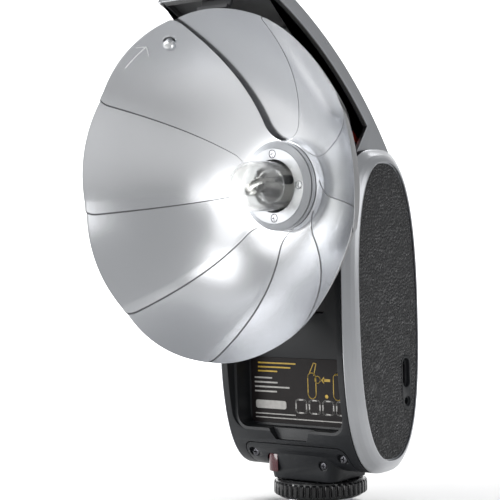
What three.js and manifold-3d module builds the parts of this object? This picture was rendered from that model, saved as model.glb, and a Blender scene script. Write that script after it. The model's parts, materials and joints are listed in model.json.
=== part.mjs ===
// Pocket flash gun with an exposed bulb and a fan-fold reflector.
// Millimetres, +Z up. The origin is the centre of the shoe foot's bottom face; the bulb looks along -Y.
import * as THREE from 'three';
import { mergeVertices } from 'three/addons/utils/BufferGeometryUtils.js';
import Module from 'manifold-3d';

const wasm = await Module();
wasm.setup();

// ---------------------------------------------------------------- driving dimensions
const GAP = 0.3;
const FAR = 100;

const BODY = { y: 1.2, z: 74.4, halfDepth: 24.1, halfHeight: 60.5, power: 2.87, halfWidth: 28.8 };
const PANEL = { halfDepth: 18.6, halfHeight: 55.3, power: 2.5, floorX: 32.6, faceX: 33.3, rimX: 33.6 };
const RIM_WIDTH = 0.8;
const WALL = 2.2;
const ROOM_HALF_WIDTH = 26.6;
const BOSS_RADIUS = 5;
const OUTLINE_POINTS = 48;
const ROUND = 28;

const RECESS = { halfWidth: 26.3, stepHalfWidth: 24.9, stepY: -18.6, floorY: -10.9, bottomZ: 29.5, topZ: 97.8 };
const POCKET = { bottomZ: 100, rearY: 14.0 };
const WELL = { halfWidth: 13.5, bottomZ: 74, floorY: -1.4 };
const NOTCH = { topHalf: 9.9, bottomHalf: 7.3, bottomZ: 26.2, topZ: 31, floorY: -15.6 };
const LABEL = { halfWidth: 23.9, bottomZ: 31.6, topZ: 56.8, thickness: 0.6 };

const APRON = { halfWidth: 24.2, topZ: 24.3, thickness: 2.0 };
const BLOCK = { halfWidth: 17.4, frontY: -14.6, rearY: 13.8, corner: 6.4, topZ: 22, bottomZ: 10.4, taper: 2.3 };
const APRON_SCREW = { x: 21, z: 20, radius: 1.5, wellRadius: 2.3 };
const BLOCK_SCREW = { x: 11.4, z: 16.8, radius: 1.3, wellRadius: 1.9, headY: -13.0, floorY: -12.6 };
const SENSOR = { halfHeight: 3.4, centreZ: 16.6, reach: 2.6, thickness: 1.1 };

const FOOT = { width: 18.6, length: 18.0, thickness: 2.0, neckWidth: 12.3, neckTop: 3.1, stemRadius: 9.5, stemTop: 10.1 };
const RING = { radius: 18, bore: 9.9, bottomZ: 3.4, topZ: 10.1, ribs: 26, ribDepth: 0.7 };
const CONTACT = { radius: 1.0, bore: 1.3, travel: 0.5, topZ: 6.0 };

const PIVOT = { y: -1, z: 122, pinRadius: 2.0, drumRadius: 10.9, drumHalfWidth: 22.9 };
const COVER = { baseY: 16.3, baseZ: 133.4, lean: 33, radius: 175, length: 95, depth: 5.5, halfWidth: 25.5 };
const COVER_WALL = 1.9;
const ARM_RADIUS = 10.4;
const RELEASE = { y0: -3.6, y1: 2.4, z0: 138.2, z1: 142.4, x0: 17.2, x1: 21.5, travel: 1.5 };
const RELEASE_STEM = { y0: -2.4, y1: 0.4, footZ: 127.9, inset: 1.2 };

const HUB_Z = 122.45;
const BOWL = { rimY: -62, depth: 43.8, radius: 63, power: 2.86 };
const LEAF = { count: 9, pitch: 40, width: 45, firstEdge: 103.3, layer: 0.42, thickness: 0.25, steps: 12 };
const LEAF_ROOT = { radius: 14.5, edge: 17, filletRadius: 9, filletEnd: 24.4 };
const SPOOL = { radius: 14.2, flangeRadius: 18, flangeY: -14.2, rearY: -12.3, frontY: -21.4, bore: 10.1 };
const CLAMP = { frontY: -23.7, faceRadius: 14, footRadius: 16.5, footY: -21.9, bore: 9.9, screwCircle: 12.0 };
const SLEEVE = { radius: 16.9, frontY: -21.3, rearY: -19.6 };
const BULB = { radius: 9.3, wall: 0.9, openY: -18.1, domeY: -35.8 };
const TUBE = { radius: 1.3, halfSpan: 4.0, rootY: -18.4, bendY: -32.5 };

const DIAL = { radius: 11.5, z: 92, frontY: 23.0, thickness: 3.6, ribs: 20 };
const SWITCH = { z: 70, thumbHalfWidth: 3.4, thumbHalfHeight: 1.8, travel: 2.0 };
const BUTTON = { x: -8, z: 52, radius: 3.6 };
const LAMP = { x: 8, z: 52, radius: 1.6 };
const REAR_SCREW = { x: 21, lowZ: 32, highZ: 106, radius: 1.5, wellRadius: 2.2 };
const PORT = { y: 12.0, z: 50.5, slotHeight: 9.0, slotWidth: 3.3, recessHeight: 12.8, recessWidth: 5.8 };
const JACK = { y: 12.5, z: 39.7, radius: 2.3, bore: 1.3 };

// ---------------------------------------------------------------- materials
function finish(color, roughness, metalness) {
  return { color, roughness, metalness };
}

const SATIN_SILVER = finish(0xb9bcc2, 0.32, 0.9);
const REFLECTOR = finish(0xd4d7de, 0.3, 0.95);
const CHARCOAL = finish(0x2c2e31, 0.55, 0.0);
const BLACK_GLOSS = finish(0x101113, 0.25, 0.0);
const LEATHER = finish(0x1c1d1f, 0.7, 0.0);
const STEEL = finish(0x9a9ca1, 0.3, 1.0);
const CHROME = finish(0xdfe2e6, 0.1, 1.0);
const GLASS = finish(0xeef1ee, 0.05, 0.0);
const CERAMIC = finish(0xe8e6df, 0.5, 0.0);
const DARK_RED = finish(0x5a1722, 0.2, 0.0);
const RELEASE_RED = finish(0xc4281c, 0.45, 0.0);
const BATTERY_BLUE = finish(0x2b4a7a, 0.5, 0.0);
const BOARD_GREEN = finish(0x1f5b37, 0.6, 0.0);
const GOLD = finish(0xb98a3c, 0.3, 1.0);

// ---------------------------------------------------------------- solid tools
function signedVolume(geometry) {
  const position = geometry.attributes.position;
  const index = geometry.index.array;
  const a = new THREE.Vector3();
  const b = new THREE.Vector3();
  const c = new THREE.Vector3();
  let volume = 0;
  for (let i = 0; i < index.length; i += 3) {
    a.fromBufferAttribute(position, index[i]);
    b.fromBufferAttribute(position, index[i + 1]);
    c.fromBufferAttribute(position, index[i + 2]);
    volume += a.dot(b.cross(c)) / 6;
  }
  return volume;
}

function toSolid(geometry) {
  const bare = geometry.clone();
  bare.deleteAttribute('normal');
  bare.deleteAttribute('uv');
  const merged = mergeVertices(bare, 1e-4);
  const flip = signedVolume(merged) < 0;
  const source = merged.index.array;
  const triVerts = [];
  for (let i = 0; i < source.length; i += 3) {
    const [a, b, c] = [source[i], source[i + 1], source[i + 2]];
    if (a === b || b === c || a === c) continue;
    triVerts.push(a, flip ? c : b, flip ? b : c);
  }
  return new wasm.Manifold(new wasm.Mesh({
    numProp: 3,
    vertProperties: new Float32Array(merged.attributes.position.array),
    triVerts: new Uint32Array(triVerts),
  }));
}

function toGeometry(solid) {
  const mesh = solid.getMesh();
  const geometry = new THREE.BufferGeometry();
  geometry.setAttribute('position', new THREE.BufferAttribute(new Float32Array(mesh.vertProperties), 3));
  geometry.setIndex(new THREE.BufferAttribute(new Uint32Array(mesh.triVerts), 1));
  geometry.computeVertexNormals();
  return geometry;
}

function join(...solids) {
  return solids.reduce((sum, solid) => sum.add(solid));
}

function cut(solid, ...tools) {
  return tools.reduce((rest, tool) => rest.subtract(tool), solid);
}

function moved(geometry, x, y, z) {
  return toSolid(geometry.translate(x, y, z));
}

// A box given by its lowest and highest corners.
function block(x0, x1, y0, y1, z0, z1) {
  const geometry = new THREE.BoxGeometry(x1 - x0, y1 - y0, z1 - z0);
  return moved(geometry, (x0 + x1) / 2, (y0 + y1) / 2, (z0 + z1) / 2);
}

// A cylinder along X, Y or Z, from one end to the other.
function rod(axis, radius, start, end, at, segments = ROUND) {
  const geometry = new THREE.CylinderGeometry(radius, radius, end - start, segments);
  const middle = (start + end) / 2;
  if (axis === 'x') return moved(geometry.rotateZ(Math.PI / 2), middle, at[0], at[1]);
  if (axis === 'z') return moved(geometry.rotateX(Math.PI / 2), at[0], at[1], middle);
  return moved(geometry, at[0], middle, at[1]);
}

function extrude(points, depth) {
  const shape = new THREE.Shape(points);
  return new THREE.ExtrudeGeometry(shape, { depth, bevelEnabled: false, steps: 1 });
}

// A (y, z) outline run along X.
function prismX(points, x0, x1) {
  const geometry = extrude(points, x1 - x0);
  const toRow = new THREE.Matrix4().set(0, 0, 1, x0, 1, 0, 0, 0, 0, 1, 0, 0, 0, 0, 0, 1);
  return toSolid(geometry.applyMatrix4(toRow));
}

// An (x, z) outline run along Y.
function prismY(points, y0, y1) {
  const geometry = extrude(points, y1 - y0).rotateX(Math.PI / 2);
  return moved(geometry, 0, y1, 0);
}

// An (x, y) outline run along Z.
function prismZ(points, z0, z1) {
  return moved(extrude(points, z1 - z0), 0, 0, z0);
}

// A closed profile of [radius, y] points turned about the hub axis.
function turned(profile, segments = ROUND) {
  const points = [...profile, profile[0]].map(([r, y]) => new THREE.Vector2(r, y));
  return moved(new THREE.LatheGeometry(points, segments), 0, 0, HUB_Z);
}

// A skin through rings of equally many points, closed by flat caps at both ends.
function skin(rings) {
  const count = rings[0].length;
  const positions = rings.flat().flatMap((point) => [point.x, point.y, point.z]);
  const index = [];
  for (let ring = 0; ring + 1 < rings.length; ring += 1) {
    for (let i = 0; i < count; i += 1) {
      const a = ring * count + i;
      const b = ring * count + ((i + 1) % count);
      index.push(a, b, b + count, a, b + count, a + count);
    }
  }
  const last = (rings.length - 1) * count;
  const flat = flatten(rings[0]);
  for (const [a, b, c] of THREE.ShapeUtils.triangulateShape(flat, [])) {
    index.push(a, c, b, last + a, last + b, last + c);
  }
  const geometry = new THREE.BufferGeometry();
  geometry.setAttribute('position', new THREE.Float32BufferAttribute(positions, 3));
  geometry.setIndex(index);
  return toSolid(geometry);
}

// The ring's points in their own plane, counter-clockwise seen against its normal.
function flatten(ring) {
  const normal = new THREE.Vector3();
  ring.forEach((point, i) => {
    const next = ring[(i + 1) % ring.length];
    normal.add(new THREE.Vector3().crossVectors(point, next));
  });
  normal.normalize();
  const helper = Math.abs(normal.z) < 0.9 ? new THREE.Vector3(0, 0, 1) : new THREE.Vector3(1, 0, 0);
  const u = new THREE.Vector3().crossVectors(helper, normal).normalize();
  const v = new THREE.Vector3().crossVectors(normal, u);
  return ring.map((point) => new THREE.Vector2(point.dot(u), point.dot(v)));
}

// ---------------------------------------------------------------- outlines
function rad(degrees) {
  return THREE.MathUtils.degToRad(degrees);
}

// A superellipse about the body's centre, in (y, z).
function oval({ halfDepth, halfHeight, power }, grow = 0) {
  const points = [];
  for (let i = 0; i < OUTLINE_POINTS; i += 1) {
    const angle = (2 * Math.PI * i) / OUTLINE_POINTS;
    const c = Math.cos(angle);
    const s = Math.sin(angle);
    const y = (halfDepth + grow) * Math.sign(c) * Math.abs(c) ** (2 / power);
    const z = (halfHeight + grow) * Math.sign(s) * Math.abs(s) ** (2 / power);
    points.push(new THREE.Vector2(BODY.y + y, BODY.z + z));
  }
  return points;
}

function atX(points, x) {
  return points.map((point) => new THREE.Vector3(x, point.x, point.y));
}

function arc(cu, cv, radius, fromDeg, toDeg, steps) {
  const points = [];
  for (let i = 0; i <= steps; i += 1) {
    const angle = rad(fromDeg + ((toDeg - fromDeg) * i) / steps);
    points.push(new THREE.Vector2(cu + radius * Math.cos(angle), cv + radius * Math.sin(angle)));
  }
  return points;
}

// A rectangle with round corners.
function rounded(u0, u1, v0, v1, radius, steps = 5) {
  return [
    ...arc(u1 - radius, v1 - radius, radius, 0, 90, steps),
    ...arc(u0 + radius, v1 - radius, radius, 90, 180, steps),
    ...arc(u0 + radius, v0 + radius, radius, 180, 270, steps),
    ...arc(u1 - radius, v0 + radius, radius, 270, 360, steps),
  ];
}

// A round outline with evenly spaced square ribs.
function ribbed(radius, ribDepth, ribs) {
  const points = [];
  for (let i = 0; i < ribs; i += 1) {
    for (const [share, r] of [[0.05, radius - ribDepth], [0.2, radius], [0.65, radius], [0.8, radius - ribDepth]]) {
      const angle = (2 * Math.PI * (i + share)) / ribs;
      points.push(new THREE.Vector2(r * Math.cos(angle), r * Math.sin(angle)));
    }
  }
  return points;
}

// ---------------------------------------------------------------- shared tools
// Where the bowl's front face lies at a given radius, for a leaf in a given layer.
function bowlY(radius, layer) {
  return BOWL.rimY + BOWL.depth * (1 - (radius / BOWL.radius) ** BOWL.power) + LEAF.layer * layer;
}

// The room that the open fan sweeps, at rest and with the head tilted forward.
function fanRoom() {
  const radii = [0, 20, 28, 34, 40, 48, 56, 64];
  const back = radii.map((r) => [r, bowlY(r, LEAF.count - 1) + LEAF.thickness + 0.9]);
  const room = turned([...back, [64, -80], [0, -80]], 48);
  const tilts = [2.5, 5];
  return tilts.reduce((sum, degrees) => sum.add(tiltHead(room, degrees)), room);
}

function tiltHead(solid, degrees) {
  return solid.translate([0, -PIVOT.y, -PIVOT.z]).rotate([degrees, 0, 0]).translate([0, PIVOT.y, PIVOT.z]);
}

function bothSides(make) {
  return join(make(1), make(-1));
}

function span(side, inner, outer) {
  return side > 0 ? [inner, outer] : [-outer, -inner];
}

const FAN_ROOM = fanRoom();

// ---------------------------------------------------------------- body
function sideFrame(side) {
  const outer = skin([
    atX(oval(BODY), side * (BODY.halfWidth + GAP)),
    atX(oval(PANEL, RIM_WIDTH), side * PANEL.rimX),
  ]);
  const panelRecess = prismX(oval(PANEL, GAP), ...span(side, PANEL.floorX, FAR));
  const hollow = prismX(oval(PANEL, -4), ...span(side, BODY.halfWidth, PANEL.floorX - 1.6));
  const pinBoss = rod('x', BOSS_RADIUS, ...span(side, BODY.halfWidth + GAP, PANEL.floorX - 0.2), [PIVOT.y, PIVOT.z]);
  const pinBore = rod('x', PIVOT.pinRadius + 0.1, ...span(side, 20, 31.2), [PIVOT.y, PIVOT.z]);
  return cut(join(cut(outer, panelRecess, hollow), pinBoss), pinBore, FAN_ROOM);
}

function portCuts() {
  const { y, z, recessHeight, recessWidth } = PORT;
  const outline = rounded(y - recessWidth / 2, y + recessWidth / 2, z - recessHeight / 2, z + recessHeight / 2, 2.8);
  return join(prismX(outline, 20, 40), rod('x', JACK.radius, 20, 40, [JACK.y, JACK.z], 24));
}

function leatherPanel() {
  return prismX(oval(PANEL), PANEL.floorX + 0.1, PANEL.faceX);
}

function usbPort() {
  const { y, z, recessHeight, recessWidth, slotHeight, slotWidth } = PORT;
  const halfWide = recessWidth / 2 - GAP;
  const halfHigh = recessHeight / 2 - GAP;
  const shell = prismX(rounded(y - halfWide, y + halfWide, z - halfHigh, z + halfHigh, 2.4), 24, 31.8);
  const slot = rounded(y - slotWidth / 2, y + slotWidth / 2, z - slotHeight / 2, z + slotHeight / 2, 1.5);
  const tongue = block(26, 31.2, y - 0.35, y + 0.35, z - 3.3, z + 3.3);
  return join(cut(shell, prismX(slot, 26.4, 40)), tongue);
}

function syncJack() {
  const shell = rod('x', JACK.radius - GAP, 24, 32.4, [JACK.y, JACK.z], 24);
  return cut(shell, rod('x', JACK.bore, 25.5, 40, [JACK.y, JACK.z], 20));
}

function blockOutline(shrink) {
  const { halfWidth, frontY, rearY, corner } = BLOCK;
  const radius = Math.max(corner - shrink, 1);
  return rounded(-halfWidth + shrink, halfWidth - shrink, frontY + shrink, rearY - shrink, radius, 6);
}

function raised(points, z) {
  return points.map((point) => new THREE.Vector3(point.x, point.y, z));
}

function blockBody(grow) {
  const bottom = raised(blockOutline(BLOCK.taper - grow), BLOCK.bottomZ - grow);
  return skin([bottom, raised(blockOutline(-grow), BLOCK.topZ + grow)]);
}

function apronBody(grow) {
  const { halfWidth, topZ, thickness } = APRON;
  const ring = prismX(oval(BODY, grow), -halfWidth - grow, halfWidth + grow);
  const inner = prismX(oval(BODY, -thickness - grow), -FAR, FAR);
  const front = block(-FAR, FAR, -FAR, -6 + grow, 0, topZ + grow);
  return cut(ring.intersect(front), inner);
}

function sensorSkin(outer, inner, grow) {
  const { halfHeight, centreZ } = SENSOR;
  const z0 = centreZ - halfHeight - grow;
  const z1 = centreZ + halfHeight + grow;
  const reach = BLOCK.corner + SENSOR.reach + grow;
  const window = block(-FAR, -BLOCK.halfWidth + reach, -FAR, BLOCK.frontY + reach, z0, z1);
  const rings = [z0, z1].map((z) => raised(blockOutline(BLOCK.taper * 0.35 - outer), z));
  const cores = [z0 - 1, z1 + 1].map((z) => raised(blockOutline(BLOCK.taper * 0.35 - inner), z));
  return cut(skin(rings), skin(cores)).intersect(window);
}

function sensorWindow() {
  return sensorSkin(0.35, -SENSOR.thickness, 0);
}

function sensorRoom() {
  return sensorSkin(1, -SENSOR.thickness - GAP, GAP);
}

function apronScrewBores(radius, frontY, rearY) {
  return bothSides((side) => rod('y', radius, frontY, rearY, [side * APRON_SCREW.x, APRON_SCREW.z], 12));
}

function blockScrewBore(radius, frontY, rearY) {
  return rod('y', radius, frontY, rearY, [BLOCK_SCREW.x, BLOCK_SCREW.z], 12);
}

function baseBlock() {
  const stemRoom = rod('z', FOOT.stemRadius + GAP, 0, BLOCK.bottomZ - 0.1, [0, 0]);
  const hollow = block(-11, 11, -7, 8, 14, FAR);
  const solid = cut(join(blockBody(0), apronBody(0)), hollow, stemRoom);
  const blockWell = blockScrewBore(BLOCK_SCREW.wellRadius, -FAR, BLOCK_SCREW.floorY);
  const blockBore = blockScrewBore(BLOCK_SCREW.radius + GAP, -FAR, -8.5);
  const wells = apronScrewBores(APRON_SCREW.wellRadius, -FAR, -12.6);
  const bores = apronScrewBores(APRON_SCREW.radius + GAP, -FAR, 0);
  return cut(solid, sensorRoom(), wells, bores, blockWell, blockBore);
}

function housingShell() {
  const { halfWidth } = BODY;
  const outer = prismX(oval(BODY), -halfWidth, halfWidth);
  const room = prismX(oval(BODY, -WALL), -FAR, FAR);
  const inner = room.intersect(block(-ROOM_HALF_WIDTH, ROOM_HALF_WIDTH, RECESS.floorY + WALL, FAR, 0, RECESS.topZ));
  const pinRoom = rod('x', PIVOT.pinRadius + GAP, -FAR, FAR, [PIVOT.y, PIVOT.z]);
  const { rearY, bottomZ } = POCKET;
  const pocket = block(-RECESS.halfWidth, RECESS.halfWidth, -FAR, rearY, bottomZ, 2 * FAR);
  const screwRoom = apronScrewBores(APRON_SCREW.radius + GAP, -FAR, 0);
  const baseRoom = join(blockBody(GAP), apronBody(GAP), sensorRoom(), screwRoom);
  const wellHalf = WELL.halfWidth + WALL;
  const wellWall = block(-wellHalf, wellHalf, RECESS.floorY - 1, WELL.floorY + WALL, WELL.bottomZ - WALL, FAR);
  return cut(outer, cut(inner, wellWall), pinRoom, pocket, baseRoom, FAN_ROOM, portCuts());
}

// The finger notch under the recess, wider at its top.
function notchOutline() {
  const { topHalf, bottomHalf, bottomZ, topZ } = NOTCH;
  const corners = [[-bottomHalf, bottomZ], [bottomHalf, bottomZ], [topHalf, topZ], [-topHalf, topZ]];
  return corners.map(([x, z]) => new THREE.Vector2(x, z));
}

function frontHousing() {
  const front = block(-FAR, FAR, -FAR, BODY.y - GAP / 2, 0, 2 * FAR);
  const { halfWidth, stepHalfWidth, stepY, floorY, bottomZ } = RECESS;
  const recess = prismY(rounded(-halfWidth, halfWidth, bottomZ, 2 * FAR, 6), -FAR, stepY);
  const step = prismY(rounded(-stepHalfWidth, stepHalfWidth, bottomZ + 1.1, 2 * FAR, 5), -FAR, floorY);
  const well = block(-WELL.halfWidth, WELL.halfWidth, -FAR, WELL.floorY, WELL.bottomZ, 2 * FAR);
  const notch = prismY(notchOutline(), -FAR, NOTCH.floorY);
  const labelBed = labelOutline(GAP, RECESS.floorY + LABEL.thickness);
  return cut(HOUSING.intersect(front), recess, step, well, notch, labelBed);
}

function labelOutline(grow, rearY) {
  const { halfWidth, bottomZ, topZ } = LABEL;
  const outline = rounded(-halfWidth - grow, halfWidth + grow, bottomZ - grow, topZ + grow, 1.5);
  return prismY(outline, grow > 0 ? -12 : RECESS.floorY, rearY);
}

function labelPlate() {
  return labelOutline(0, RECESS.floorY + LABEL.thickness - GAP);
}

function rearHousing() {
  const rear = block(-FAR, FAR, BODY.y + GAP / 2, FAR, 0, 2 * FAR);
  const dialBed = rod('y', DIAL.radius + 0.6, DIAL.frontY - GAP, FAR, [0, DIAL.z], 28);
  const dialBore = rod('y', 2.6, 0, FAR, [0, DIAL.z], 24);
  const slotWide = SWITCH.thumbHalfWidth + SWITCH.travel + 2 * GAP;
  const slotHigh = SWITCH.thumbHalfHeight + GAP;
  const slot = prismY(rounded(-slotWide, slotWide, SWITCH.z - slotHigh, SWITCH.z + slotHigh, 2), 20, FAR);
  const buttonBore = rod('y', BUTTON.radius + GAP, 0, FAR, [BUTTON.x, BUTTON.z], 20);
  const lampBore = rod('y', LAMP.radius + GAP, 0, FAR, [LAMP.x, LAMP.z], 16);
  const wells = rearScrewPlaces().map(([x, z]) => rod('y', REAR_SCREW.wellRadius, 21.6, FAR, [x, z], 12));
  const bores = rearScrewPlaces().map(([x, z]) => rod('y', REAR_SCREW.radius + GAP, 10, FAR, [x, z], 12));
  const bosses = rearScrewPlaces().map(([x, z]) => rearBoss(x, z));
  const shell = join(HOUSING.intersect(rear), ...bosses);
  return cut(shell, dialBed, dialBore, slot, buttonBore, lampBore, ...wells, ...bores);
}

function rearScrewPlaces() {
  const { x, lowZ, highZ } = REAR_SCREW;
  return [[-x, lowZ], [x, lowZ], [-x, highZ], [x, highZ]];
}

function rearBoss(x, z) {
  const boss = rod('y', 3.4, 14.5, 23, [x, z], 12);
  return boss.intersect(prismX(oval(BODY, -1), -FAR, FAR));
}

const HOUSING = housingShell();

// A screw whose head faces along Y, with a cross recess.
function screw(x, z, radius, headY, tipY) {
  const away = Math.sign(headY - tipY);
  const shank = rod('y', radius, Math.min(headY, tipY), Math.max(headY, tipY), [x, z], 12);
  const slotDepth = [headY - away * 0.6, headY + away * 1];
  const [y0, y1] = [Math.min(...slotDepth), Math.max(...slotDepth)];
  const cross = join(block(x - 1, x + 1, y0, y1, z - 0.2, z + 0.2), block(x - 0.2, x + 0.2, y0, y1, z - 1, z + 1));
  return cut(shank, cross);
}

// ---------------------------------------------------------------- foot
function shoeFoot() {
  const { width, length, thickness, neckWidth, neckTop, stemRadius, stemTop } = FOOT;
  const plate = prismZ(rounded(-width / 2, width / 2, -length / 2, length / 2, 1.2, 3), 0, thickness);
  const neck = block(-neckWidth / 2, neckWidth / 2, -length / 2 + 1, length / 2 - 1, 1, neckTop);
  const stem = rod('z', stemRadius, neckTop - 0.3, stemTop, [0, 0]);
  const pinBore = rod('z', CONTACT.bore, -1, CONTACT.topZ + CONTACT.travel + GAP, [0, 0], 20);
  return cut(join(plate, neck, stem), pinBore);
}

function lockRing() {
  const rim = prismZ(ribbed(RING.radius, RING.ribDepth, RING.ribs), RING.bottomZ + 0.8, RING.topZ - 0.8);
  const core = rod('z', RING.radius - RING.ribDepth, RING.bottomZ, RING.topZ, [0, 0]);
  return cut(join(rim, core), rod('z', RING.bore, 0, 20, [0, 0]));
}

function contactPin() {
  return rod('z', CONTACT.radius, -CONTACT.travel, CONTACT.topZ, [0, 0], 20);
}

// ---------------------------------------------------------------- rear controls
function dial() {
  const { radius, z, frontY, thickness, ribs } = DIAL;
  const cap = prismY(ribbed(radius, 0.5, ribs), frontY, frontY + thickness).translate([0, 0, z]);
  const pointer = block(-0.5, 0.5, frontY + thickness - 0.4, FAR, z + 4, z + radius);
  const shaft = rod('y', 2.2, 18, frontY + 0.5, [0, z], 20);
  return join(cut(cap, pointer), shaft);
}

function modeSwitch() {
  const { z, thumbHalfWidth, thumbHalfHeight } = SWITCH;
  const outline = rounded(-thumbHalfWidth, thumbHalfWidth, z - thumbHalfHeight, z + thumbHalfHeight, 1.7);
  const thumb = prismY(outline, 21.5, 26.4);
  const grooves = [-1.2, 0, 1.2].map((x) => block(x - 0.2, x + 0.2, 26, 27, z - 1.4, z + 1.4));
  return cut(thumb, ...grooves);
}

function testButton() {
  return rod('y', BUTTON.radius, 21, 26.0, [BUTTON.x, BUTTON.z], 20);
}

function readyLamp() {
  return rod('y', LAMP.radius, 21.5, 25.3, [LAMP.x, LAMP.z], 20);
}

// ---------------------------------------------------------------- inside the body
function batteryPack() {
  return prismZ(rounded(-25, 1, -7.5, 13, 3, 4), 27, 69);
}

function flashCapacitor() {
  return rod('z', 9.5, 27, 69, [13.5, 4], 24);
}

function mainBoard() {
  return block(-23, 17, 15.4, 17, 38, 84);
}

function triggerTransformer() {
  const core = block(-22, -8, 3.5, 13.5, 75, 93);
  return join(core, block(-24, -6, 6, 11, 78, 90));
}

// ---------------------------------------------------------------- cover
// A point on the cover at a length along its back and an inset towards the bowl.
function coverPoint(along, inset) {
  const { baseY, baseZ, lean, radius } = COVER;
  const start = rad(lean);
  const angle = start + along / radius;
  const y = baseY + radius * (Math.cos(angle) - Math.cos(start)) - inset * Math.cos(angle);
  const z = baseZ + radius * (Math.sin(angle) - Math.sin(start)) - inset * Math.sin(angle);
  return new THREE.Vector2(y, z);
}

function coverBand(from, to, outerInset, innerInset, steps = 10) {
  const outer = [];
  const inner = [];
  for (let i = 0; i <= steps; i += 1) {
    const along = from + ((to - from) * i) / steps;
    outer.push(coverPoint(along, outerInset));
    inner.push(coverPoint(along, innerInset));
  }
  return [...outer, ...inner.reverse()];
}

function armOutline() {
  const shoulder = [coverPoint(0, 0), coverPoint(8, 0), coverPoint(16.5, 0), coverPoint(17, COVER.depth)];
  return [...shoulder, ...arc(PIVOT.y, PIVOT.z, ARM_RADIUS, 150, 385, 14)];
}

function coverFrame() {
  const { length, depth, halfWidth } = COVER;
  const inner = halfWidth - COVER_WALL;
  const wall = bothSides((side) => prismX(coverBand(0, length, 0, depth), ...span(side, inner, halfWidth)));
  const arms = bothSides((side) => prismX(armOutline(), ...span(side, inner, halfWidth)));
  const back = prismX(coverBand(0, length, 1.0, 2.2), -inner - 0.5, inner + 0.5);
  const tip = prismX(coverBand(length - 1.8, length, 0, depth, 1), -inner - 0.5, inner + 0.5);
  const base = prismX(coverBand(0, 2.2, 0, 7.6, 1), -inner - 0.5, inner + 0.5);
  const pinRoom = rod('x', PIVOT.pinRadius + GAP, -FAR, FAR, [PIVOT.y, PIVOT.z]);
  return cut(join(wall, arms, back, tip, base), pinRoom);
}

function coverLiner() {
  const half = COVER.halfWidth - COVER_WALL - GAP;
  const floor = prismX(coverBand(2.6, COVER.length - 2.2, 2.5, 3.6), -half, half);
  const lips = bothSides((side) => prismX(coverBand(2.6, COVER.length - 2.2, 3, 5.3), ...span(side, half - 1, half)));
  const ribs = [24, 46, 68].map((along) => prismX(coverBand(along, along + 1, 3, 4.4, 1), -half, half));
  return join(floor, lips, ...ribs);
}

function coverSkin() {
  const half = COVER.halfWidth - COVER_WALL - GAP;
  return prismX(coverBand(2.5, COVER.length - 2.1, 0, 0.7), -half, half);
}

function coverLatch() {
  const half = 7;
  const { length, depth } = COVER;
  const stem = prismX(coverBand(length - 5.2, length - 4, 4.2, depth + 4, 1), -half, half);
  const hook = prismX(coverBand(length - 5.2, length - 2.6, depth + 2.6, depth + 4, 1), -half, half);
  return join(stem, hook);
}

function hingeBarrel() {
  const { y, z, drumRadius, drumHalfWidth } = PIVOT;
  const drum = rod('x', drumRadius, -drumHalfWidth, drumHalfWidth, [y, z]);
  const { y0, y1, footZ } = RELEASE_STEM;
  const [x0, x1] = releaseStemSpan();
  const slot = block(x0 - RELEASE.travel - GAP, x1 + GAP, y0 - GAP, y1 + GAP, footZ - GAP, FAR * 2);
  return cut(drum, rod('x', PIVOT.pinRadius + GAP, -FAR, FAR, [y, z]), slot);
}

function hingePin(side) {
  return rod('x', PIVOT.pinRadius, ...span(side, 20, 31), [PIVOT.y, PIVOT.z], 24);
}

function releaseStemSpan() {
  return [RELEASE.x0 + RELEASE_STEM.inset, RELEASE.x1 - RELEASE_STEM.inset];
}

// The release tab stands on a stem that slides in the drum's slot.
function headRelease() {
  const { y0, y1, z0, z1, x0, x1 } = RELEASE;
  const tab = prismX(rounded(y0, y1, z0, z1, 0.8, 2), x0, x1);
  const stem = block(...releaseStemSpan(), RELEASE_STEM.y0, RELEASE_STEM.y1, RELEASE_STEM.footZ, z0 + 1);
  return join(tab, stem);
}

// ---------------------------------------------------------------- hub and bulb
function hubScrewPlaces() {
  const radius = CLAMP.screwCircle;
  return [[0, 1], [1, 0], [0, -1], [-1, 0]].map(([x, z]) => [x * radius, HUB_Z + z * radius]);
}

function hubSpool() {
  const { radius, flangeRadius, flangeY, rearY, frontY, bore } = SPOOL;
  const floorY = -14.8;
  const body = turned([
    [0, rearY], [flangeRadius, rearY], [flangeRadius, flangeY], [radius, flangeY],
    [radius, frontY], [bore, frontY], [bore, floorY], [0, floorY],
  ]);
  const bores = hubScrewPlaces().map(([x, z]) => rod('y', 1.7, -FAR, -18, [x, z], 12));
  return cut(body, ...bores);
}

function clampRing() {
  const { frontY, faceRadius, footRadius, footY, bore } = CLAMP;
  const rearY = SPOOL.frontY - GAP;
  const body = turned([
    [bore, rearY], [footRadius, rearY], [footRadius, footY], [faceRadius, frontY], [bore, frontY],
  ]);
  const bores = hubScrewPlaces().map(([x, z]) => rod('y', 1.7, -FAR, FAR, [x, z], 12));
  return cut(body, ...bores);
}

function clampCollar() {
  const inner = SPOOL.radius + GAP;
  const { radius, frontY, rearY } = SLEEVE;
  return turned([[inner, rearY], [radius, rearY], [radius, frontY + 0.3], [radius - 0.3, frontY], [inner, frontY]]);
}

function bulbBase() {
  return turned([[0, -15.1], [9.4, -15.1], [9.4, -17.8], [6.6, -17.8], [6.6, -18.1], [0, -18.1]], 24);
}

function bulbGlass() {
  const { radius, wall, openY, domeY } = BULB;
  const dome = (r, from, to) => arc(0, 0, r, from, to, 5).map((point) => [point.x, domeY - point.y]);
  const outer = dome(radius, 0, 90);
  const inner = dome(radius - wall, 90, 0);
  return turned([[radius, openY], ...outer, ...inner, [radius - wall, openY]], 24);
}

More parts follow.
